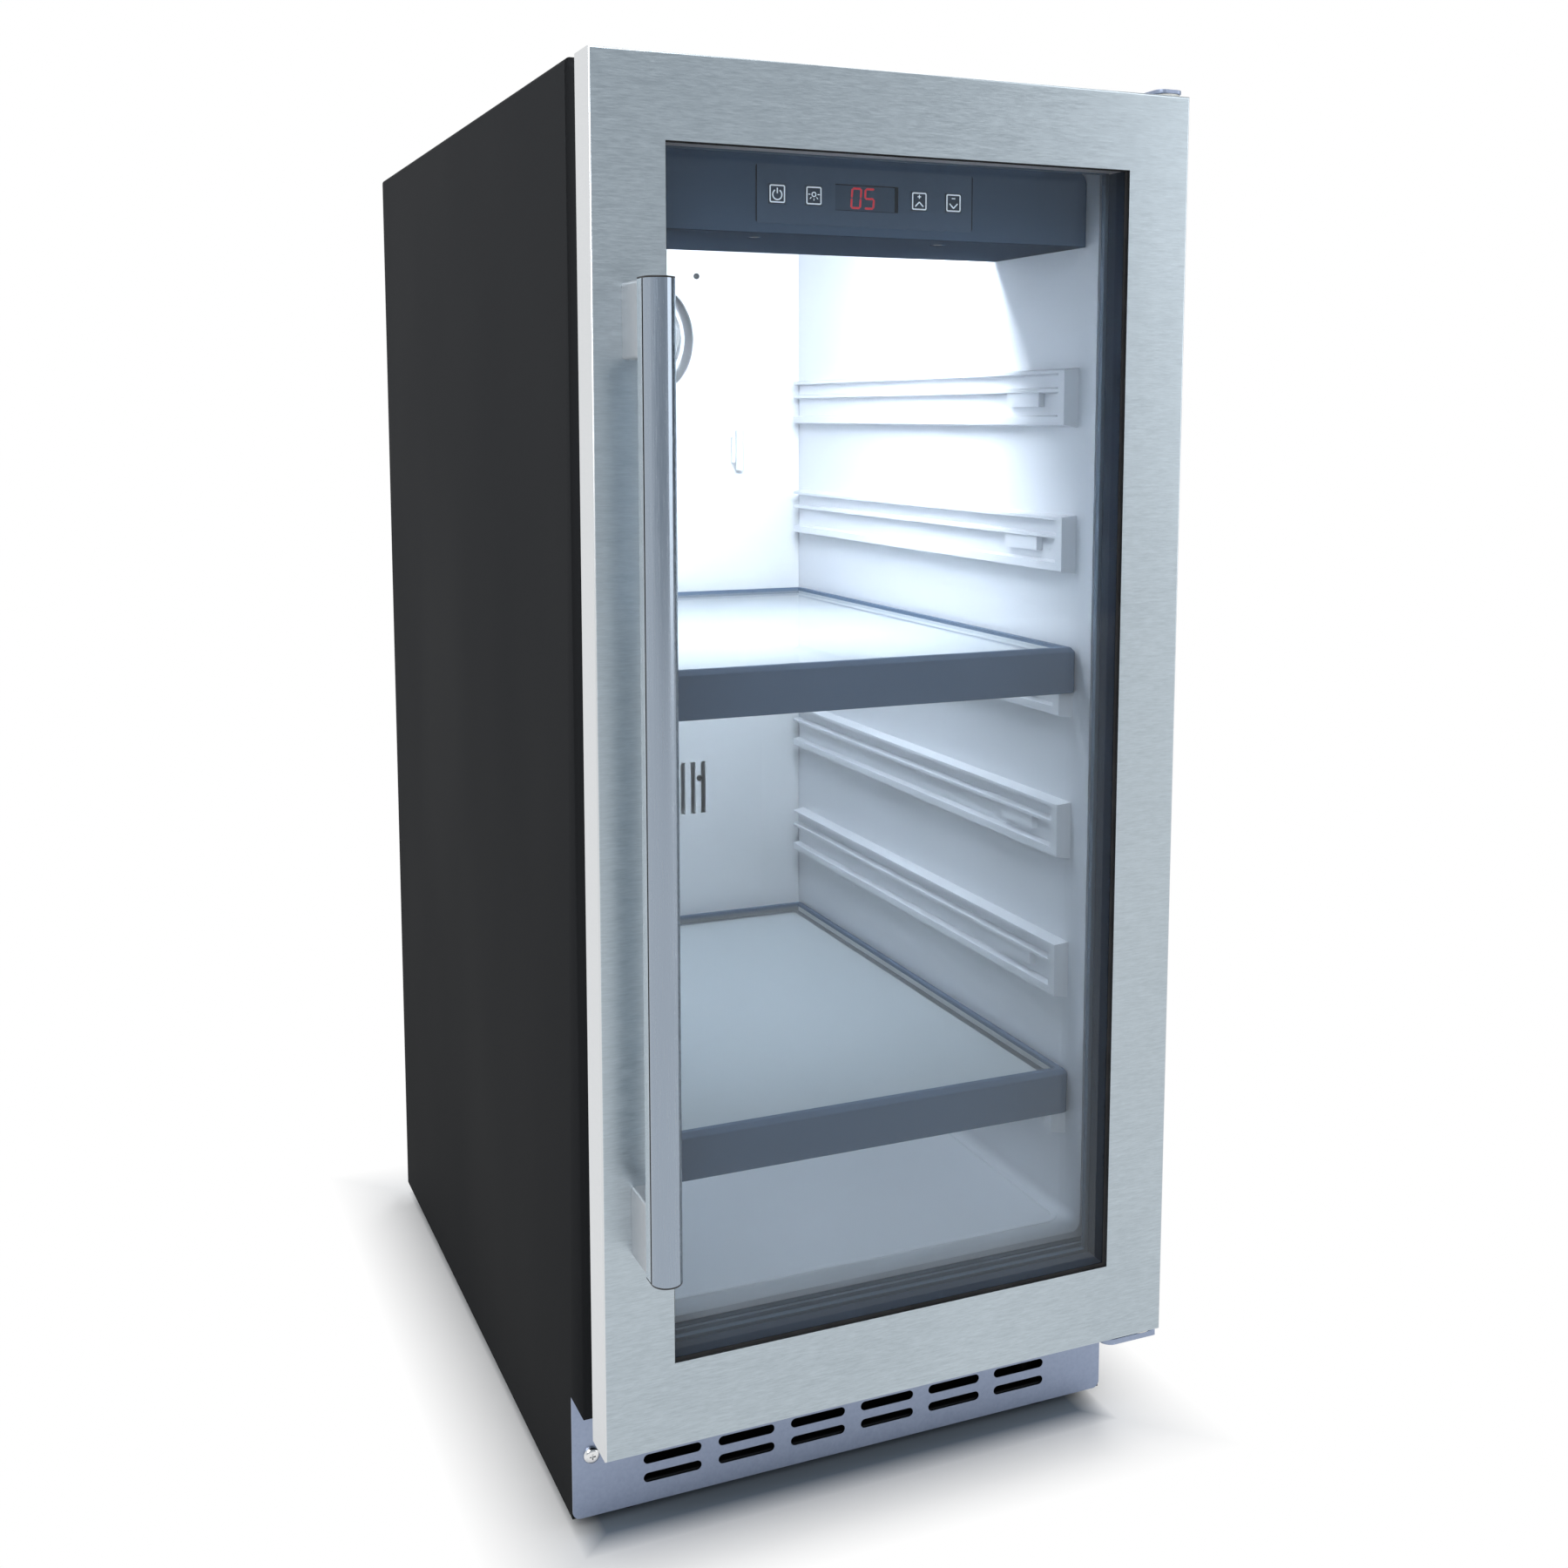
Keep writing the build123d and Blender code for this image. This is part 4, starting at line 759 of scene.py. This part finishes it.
# Pieces whose edges show: merged and smoothed, with the edges eased by this many millimetres
edge_radii = {
    "handle_bar": 0.0,
    "handle_posts": 0.35,
    "handle_end_caps": 0.2,
    "door_frame": 0.0,
    "door_inner_frame": 0.8,
    "glazing_seal": 0.0,
    "kick_plate": 0.45,
    "cabinet_shell": 0.0,
    "inner_liner": 0.7,
    "air_duct_panel": 0.0,
    "fan_grille": 0.3,
    "control_housing": 0.4,
    "shelf_upper_frame": 0.5,
    "shelf_lower_frame": 0.5,
    "hinge_plate_top": 0.4,
    "hinge_plate_bottom": 0.5,
    "hinge_screws": 0.3,
    "rear_panel": 0.6,
    "key_power": 0.2,
    "key_light": 0.2,
    "key_up": 0.2,
    "key_down": 0.2,
    "levelling_foot_front_left": 0.5,
    "levelling_foot_front_right": 0.5,
    "levelling_foot_rear_left": 0.5,
    "levelling_foot_rear_right": 0.5,
}
for name, radius in edge_radii.items():
    eased(name, radius * MM)

# Pieces with a finish of their own
own_finish = {
    # Painted shade: the base pan takes black paint so that the space behind the kick plate's slots reads
    # dark
    "base_pan": finishes["cabinet_black"],
    "door_gasket": grey_rubber,
    "glass_spacer": spacer_plastic,
    "shelf_upper_glass": shelf_glass,
    "shelf_lower_glass": shelf_glass,
    "control_housing": housing_plastic,
    "handle_posts": post_metal,
    "door_inner_frame": inner_frame_plastic,
    "kick_plate": kick_metal,
}
for name, material in own_finish.items():
    finish_piece(bpy.data.objects[f"{name}_finished"] if name in edge_radii else nodes[name], material)

# The seal shows less beside the handle and at the top, where the frame's edge covers it
seal = bpy.data.objects["glazing_seal_finished"]
seal_low, seal_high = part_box("glazing_seal")
covered_side, covered_top = 1.9 * MM, 1.6 * MM
outer_rim, lip_reach, long_edge = 2 * MM, 60 * MM, 0.2


def inner_left(middle, way):
    """Upright inner edges of the seal beside the handle."""
    return seal_low[0] + outer_rim < middle.x < seal_low[0] + lip_reach and abs(way.z) > long_edge


def inner_top(middle, way):
    """Level inner edges of the seal at the top."""
    return seal_high[2] - lip_reach < middle.z < seal_high[2] - outer_rim and abs(way.x) > long_edge


only(seal)
choose(seal, "EDGE", inner_left)
bpy.ops.transform.translate(value=(-covered_side, 0, 0))
settle(seal)
choose(seal, "EDGE", inner_top)
bpy.ops.transform.translate(value=(0, 0, covered_top))
settle(seal)


def floor_bead(half_width, front, back, z, width, rise, corner):
    """Low rounded bead that runs round the liner's floor."""
    bead = begin(
        bpy.ops.mesh.primitive_plane_add,
        "liner_floor_bead",
        size=1,
        location=(0, (front + back) / 2, z),
        scale=(2 * half_width, back - front, 1),
    )
    choose_all()
    bpy.ops.mesh.bevel(offset=corner, segments=8, affect="VERTICES")
    bpy.ops.mesh.select_all(action="SELECT")
    bpy.ops.mesh.inset(thickness=width)
    bpy.ops.mesh.delete(type="FACE")
    settle(bead)
    refine(bead, "SOLIDIFY", thickness=2 * rise, offset=0.0)
    choose(bead, "EDGE", lambda middle, way: middle.z > z + rise * 0.9)
    bpy.ops.mesh.bevel(offset=rise * 0.9, segments=3)
    settle(bead)
    return fitted(smooth(outward(bead)), "inner_liner")


floor_bead(
    half_width=149 * MM,
    front=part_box("inner_liner")[0][1] + 9 * MM,
    back=50 * MM,
    z=148 * MM,
    width=4.5 * MM,
    rise=0.9 * MM,
    corner=14 * MM,
)


# Screws and louvres, each modelled once and copied to its places


def cross_screw(radius, rise, crown, recess):
    """Round screw head standing on the origin, with a cross cut into its crown."""
    head = begin(
        bpy.ops.mesh.primitive_cylinder_add,
        "screw_head",
        vertices=28,
        radius=radius,
        depth=rise,
        location=(0, 0, rise / 2),
    )
    choose(head, "EDGE", lambda middle, way: middle.z > rise * 0.9)
    bpy.ops.mesh.bevel(offset=crown, segments=5)
    settle(head)
    for degrees in (0, 90):
        arm = begin(
            bpy.ops.mesh.primitive_cube_add,
            "recess_arm",
            size=1,
            location=(0, 0, rise),
            rotation=(0, 0, math.radians(degrees)),
            scale=(recess, recess * 0.24, rise),
        )
        choose(arm, "FACE", lambda centre, normal: normal.z < -0.5)
        bpy.ops.transform.resize(value=(0.6, 0.6, 1))
        settle(arm)
        cut(head, arm)
    return outward(head)


def placed(pattern, name, node, places, turn, slot=None):
    """Copies of one piece at several places of a CAD node, joined into one."""
    copies = [copied(pattern, f"{name}_{i}", place, turn) for i, place in enumerate(places)]
    return fitted(smooth(joined(copies, name)), node, slot)


def evenly(first, last, count):
    """Numbers in even steps between two ends."""
    return [first + (last - first) * i / (count - 1) for i in range(count)]


def middle_of(low, high, axis):
    """Middle of a box along one axis."""
    return (low[axis] + high[axis]) / 2


dome_low, dome_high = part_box("kick_plate_screws")
dome_radius = (dome_high[2] - dome_low[2]) / 2
dome_rise = dome_high[1] - dome_low[1]
dome_z = middle_of(dome_low, dome_high, 2)
dome_places = [(x, dome_high[1], dome_z) for x in (dome_low[0] + dome_radius, dome_high[0] - dome_radius)]
dome = cross_screw(radius=dome_radius, rise=dome_rise, crown=dome_rise * 0.92, recess=dome_radius * 0.9)
domes = placed(dome, "kick_plate_dome_screws", "kick_plate_screws", dome_places, FORWARDS)
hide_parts("kick_plate_screws")

small_head = cross_screw(radius=3.4 * MM, rise=1.5 * MM, crown=1.0 * MM, recess=3.4 * MM)

bead_rise = 3 * MM
edge_inset = 9 * MM
panel_rows = 5
cover_rows = 3
panel_low, panel_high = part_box("rear_panel")
panel_face = panel_high[1] - bead_rise
panel_places = [
    (x, panel_face, z)
    for x in (panel_low[0] + edge_inset, panel_high[0] - edge_inset)
    for z in evenly(panel_low[2] + edge_inset, panel_high[2] - edge_inset, panel_rows)
]
placed(small_head, "rear_panel_screws", "rear_panel", panel_places, BACKWARDS, "bright_metal")

cover_low, cover_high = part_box("rear_cover")
cover_places = [
    (x, cover_high[1], z)
    for x in (cover_low[0] + edge_inset, cover_high[0] - edge_inset)
    for z in evenly(cover_low[2] + edge_inset, cover_high[2] - edge_inset, cover_rows)
]
placed(small_head, "rear_cover_screws", "rear_cover", cover_places, BACKWARDS, "bright_metal")

duct_low, duct_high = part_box("air_duct_panel")
duct_screw_x = 58 * MM
duct_screw_rows = (36 * MM, 470 * MM)
duct_places = [
    (x, duct_low[1], duct_high[2] - drop) for x in (-duct_screw_x, duct_screw_x) for drop in duct_screw_rows
]
duct_screw = cross_screw(radius=2.6 * MM, rise=1.2 * MM, crown=0.8 * MM, recess=2.8 * MM)
placed(duct_screw, "air_duct_screws", "air_duct_panel", duct_places, FORWARDS, "black_plastic")

well_x = 62 * MM
well_setback = 26 * MM
well_depth = 1.2 * MM
well_places = [(x, housing_low[1] + well_setback, housing_low[2] + well_depth) for x in (-well_x, well_x)]
well_screw = cross_screw(radius=3.0 * MM, rise=1.0 * MM, crown=0.7 * MM, recess=3.0 * MM)
placed(well_screw, "control_housing_screws", "control_housing", well_places, DOWNWARDS, "black_plastic")


def louvre_hood(width, rise, height, sheet):
    """Pressed hood over one louvre: a quarter round, open below, with closed ends."""
    hood = begin(
        bpy.ops.mesh.primitive_cylinder_add,
        "louvre_hood",
        vertices=40,
        radius=1,
        depth=width,
        rotation=(0, math.radians(90), 0),
        scale=(height, rise, 1),
    )
    for keep in ((0, 1, 0), (0, 0, 1)):
        choose_all()
        bpy.ops.mesh.bisect(plane_co=(0, 0, 0), plane_no=keep, clear_inner=True)
        bpy.ops.object.mode_set(mode="OBJECT")
    outward(hood)
    refine(hood, "SOLIDIFY", thickness=sheet, offset=-1.0)
    return hood


louvre_count = 9
louvre_pitch = 11 * MM
louvre_width = 120 * MM
louvre_gap = 5 * MM
louvre_inset = 110 * MM
louvre_x = cad_high[0] - louvre_inset
louvre_z = middle_of(cover_low, cover_high, 2)
hood = louvre_hood(width=louvre_width + 3 * MM, rise=4.2 * MM, height=louvre_gap + 2.5 * MM, sheet=0.8 * MM)
hood_places = [
    (louvre_x, cover_high[1], louvre_z + louvre_pitch * (i - (louvre_count - 1) / 2) - louvre_gap / 2)
    for i in range(louvre_count)
]
placed(hood, "rear_cover_louvres", "rear_cover", hood_places, UPWARDS)

for pattern in (dome, small_head, duct_screw, well_screw, hood):
    bpy.data.objects.remove(pattern)


# Flat marks on the control panel, standing a hair in front of what carries them


def bar_mark(x, z, y, length, width, degrees=0):
    """Straight stroke with rounded ends, facing the viewer."""
    mark = begin(
        bpy.ops.mesh.primitive_plane_add,
        "stroke",
        size=1,
        location=(x, y, z),
        rotation=(math.radians(90), math.radians(-degrees), 0),
        scale=(length, width, 1),
    )
    choose_all()
    bpy.ops.mesh.bevel(offset=width * 0.48, segments=3, affect="VERTICES")
    return settle(mark)


def ring_mark(x, z, y, radius, width, gap=0):
    """Round stroke, open at the top by a gap in degrees to each side."""
    mark = begin(
        bpy.ops.mesh.primitive_circle_add,
        "ring",
        vertices=48,
        radius=radius + width / 2,
        fill_type="NGON",
        location=(x, y, z),
        rotation=FORWARDS,
    )
    choose_all()
    bpy.ops.mesh.inset(thickness=width)
    bpy.ops.mesh.delete(type="FACE")
    settle(mark)
    if gap:
        limit = 0.98 * math.cos(math.radians(gap))
        choose(mark, "FACE", lambda centre, normal: (centre.z - z) / radius > limit)
        bpy.ops.mesh.delete(type="FACE")
    return settle(mark)


def frame_mark(x, z, y, width, height, line, corner):
    """Rounded rectangular outline."""
    mark = begin(
        bpy.ops.mesh.primitive_plane_add,
        "outline",
        size=1,
        location=(x, y, z),
        rotation=FORWARDS,
        scale=(width, height, 1),
    )
    choose_all()
    bpy.ops.mesh.bevel(offset=corner, segments=6, affect="VERTICES")
    bpy.ops.mesh.select_all(action="SELECT")
    bpy.ops.mesh.inset(thickness=line)
    bpy.ops.mesh.delete(type="FACE")
    return settle(mark)


def printed(marks, name, node, material):
    """Join flat marks and give them the thickness of print."""
    mark = outward(joined(marks, name))
    refine(mark, "SOLIDIFY", thickness=PRINT, offset=0.0)
    return fitted(mark, node, material=material)


def key_icon(key):
    """Outline and symbol printed on one key."""
    node = f"key_{key}"
    low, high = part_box(node)
    x = middle_of(low, high, 0)
    z = middle_of(low, high, 2)
    y = low[1] - PRINT / 2
    line = 0.8 * MM
    margin = 0.3 * MM
    flange_lap = 1.2 * MM
    inset = 2 * (flange_lap + margin)
    marks = [frame_mark(x, z, y, high[0] - low[0] - inset, high[2] - low[2] - inset, line, corner=1.1 * MM)]
    if key == "power":
        marks.append(ring_mark(x, z - 0.5 * MM, y, radius=2.9 * MM, width=line, gap=32))
        marks.append(bar_mark(x, z + 1.8 * MM, y, length=3.4 * MM, width=line, degrees=90))
    elif key == "light":
        reach = 3.0 * MM
        ray_length = 1.5 * MM
        bulb_z = z + 0.7 * MM
        marks.append(ring_mark(x, bulb_z, y, radius=1.25 * MM, width=line * 0.8))
        for degrees in range(180, 405, 45):
            angle = math.radians(degrees)
            tip_x = x + reach * math.cos(angle)
            tip_z = bulb_z + reach * math.sin(angle)
            marks.append(bar_mark(tip_x, tip_z, y, ray_length, line * 0.7, degrees))
    else:
        way = 1 if key == "up" else -1
        sign_z = z + 2.7 * MM
        sign_length = 2.5 * MM
        sign_line = line * 0.85
        arrow_z = z - 1.8 * MM
        arrow_half = 1.35 * MM
        arm_length = 4.1 * MM
        marks.append(bar_mark(x, sign_z, y, sign_length, sign_line))
        if way > 0:
            marks.append(bar_mark(x, sign_z, y, sign_length, sign_line, 90))
        for side in (-1, 1):
            marks.append(bar_mark(x + side * arrow_half, arrow_z, y, arm_length, line, -45 * side * way))
    return printed(marks, f"{node}_icon", node, white_ink)


for key in ("power", "light", "up", "down"):
    key_icon(key)


def display_digits():
    """Two seven-segment digits on the front of the display."""
    stand_off = 0.05 * MM
    y = display_low[1] - stand_off
    z = middle_of(display_low, display_high, 2)
    height, width, line = 11.4 * MM, 5.9 * MM, 1.25 * MM
    gap = 0.5 * MM
    slant, slant_degrees = 0.07, 4
    left_digit, right_digit = -6.5 * MM, 2.3 * MM
    places = {
        "a": (0, height / 2, 0),
        "g": (0, 0, 0),
        "d": (0, -height / 2, 0),
        "f": (-width / 2, height / 4, 90),
        "b": (width / 2, height / 4, 90),
        "e": (-width / 2, -height / 4, 90),
        "c": (width / 2, -height / 4, 90),
    }
    marks = []
    for lit, middle in (("abcdef", left_digit), ("acdfg", right_digit)):
        for segment in lit:
            across, up, turn = places[segment]
            length = (height / 2 if turn else width) - gap
            tilt = slant_degrees if turn else 0
            marks.append(bar_mark(middle + across + up * slant, z + up, y, length, line, turn - tilt))
    return printed(marks, "display_digits", "display_module", red_glow)


display_digits()

# Camera at the photograph's viewing angle
camera_data = bpy.data.cameras.new("camera")
camera = bpy.data.objects.new("camera", camera_data)
bpy.context.scene.collection.objects.link(camera)
camera.location = (-0.4638, -1.1810, 0.6848)
camera.rotation_euler = (math.radians(90 - 6.46), 0, math.radians(-23.216))
camera_data.sensor_width = 36
camera_data.lens = 40.14
camera_data.shift_x = -0.004
camera_data.shift_y = -0.108
camera_data.clip_start = 0.01
camera_data.clip_end = 50
bpy.context.scene.camera = camera

# Pale floor: matt near the object, so that it keeps the shadow, with a painted shadow under and just in
# front of the object, and white further off
floor = begin(bpy.ops.mesh.primitive_plane_add, "floor", size=9, location=(0, 0, 0))
choose_all()
bpy.ops.mesh.subdivide(number_cuts=4)
settle(floor)
pale = Finish("pale_floor")
paper = pale.noise(30)
shade_reach = 0.025
shade_edge = 0.02
white_from = 0.06
off_side = abs(pale.axis("X")) - cad_high[0]
off_front = kick_front - shade_reach - pale.axis("Y")
off_back = pale.axis("Y") - cad_high[1]
off = off_side.most(off_front).most(off_back)
sheet = pale.blend(paper, (0.90, 0.90, 0.905), (0.93, 0.93, 0.935))
matt = pale.surface(
    # painted shadow: the floor under and just in front of the object is painted dark
    Base_Color=pale.blend(pale.spread(off, -shade_edge, 0.0), (0.18, 0.22, 0.27), sheet),
    Roughness=0.8,
    Specular_IOR_Level=0.15,
)
white = pale.node("ShaderNodeEmission", None, {"Color": (1, 1, 1, 1), "Strength": 1.0})
away = pale.spread(off, 0.0, white_from)
pale.done(pale.either(away * pale.shown(), matt, white))
finish_piece(floor, pale.material)

# Soft studio: an even room, seen white, that metal reflects darker from the front and darkest from the right
world = bpy.data.worlds.new("studio")
bpy.context.scene.world = world
world.use_nodes = True
room = Wiring(world.node_tree, "ShaderNodeOutputWorld")
way = room.node("ShaderNodeTexCoord", out="Generated")
front_range = (-0.85, -0.1)
right_range = (0.62, 0.85)
from_front = room.spread(room.part(way, "Y"), *front_range, 1.0, 0.0)
from_right = room.spread(room.part(way, "X") - room.part(way, "Y").most(0.0), *right_range)
wall = room.blend(from_front * room.ray("Glossy"), (1.0, 1.0, 1.0), (0.50, 0.53, 0.56))
wall = room.blend(from_right * room.ray("Glossy"), wall, (0.10, 0.11, 0.12))
seen = room.node("ShaderNodeBackground", None, {"Color": wall, "Strength": 1.0})
light = room.node("ShaderNodeBackground", None, {"Color": (0.95, 0.98, 1.0, 1), "Strength": 0.45})
room.done(room.either(room.shown(), light, seen))


def lamp(name, place, target, size, power, colour=(1, 1, 1)):
    """Rectangular lamp aimed at a point."""
    data = bpy.data.lights.new(name, "AREA")
    data.shape = "RECTANGLE"
    data.size, data.size_y = size
    data.energy = power
    data.color = colour
    obj = bpy.data.objects.new(name, data)
    bpy.context.scene.collection.objects.link(obj)
    obj.location = place
    obj.rotation_euler = (Vector(target) - Vector(place)).to_track_quat("-Z", "Y").to_euler()
    return obj


lamp("key_light", (-1.6, -2.2, 2.2), target=(0, 0, 0.45), size=(1.6, 1.6), power=38)
lamp("fill_light", (2.2, -1.6, 1.2), target=(0, 0, 0.45), size=(1.4, 2.0), power=20)
lamp("top_light", (0, 0.2, 2.6), target=(0, 0, 0.5), size=(2.0, 2.0), power=21)
lamp("rear_light", (1.5, 2.2, 1.7), target=(0, 0.2, 0.45), size=(1.0, 1.0), power=14)
strip_low, strip_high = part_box("led_diffuser")
strip_z = middle_of(strip_low, strip_high, 2)
lamp_gap = 6 * MM
lamp_fall = 0.34
lamp(
    "cabinet_lamp",
    (0, strip_high[1] + lamp_gap, strip_z - lamp_gap),
    target=(0, duct_low[1], strip_z - lamp_fall),
    size=(0.23, 0.02),
    power=2.1,
    colour=(0.94, 0.97, 1.0),
)

bpy.context.scene.view_settings.view_transform = "Standard"

bpy.context.view_layer.update()
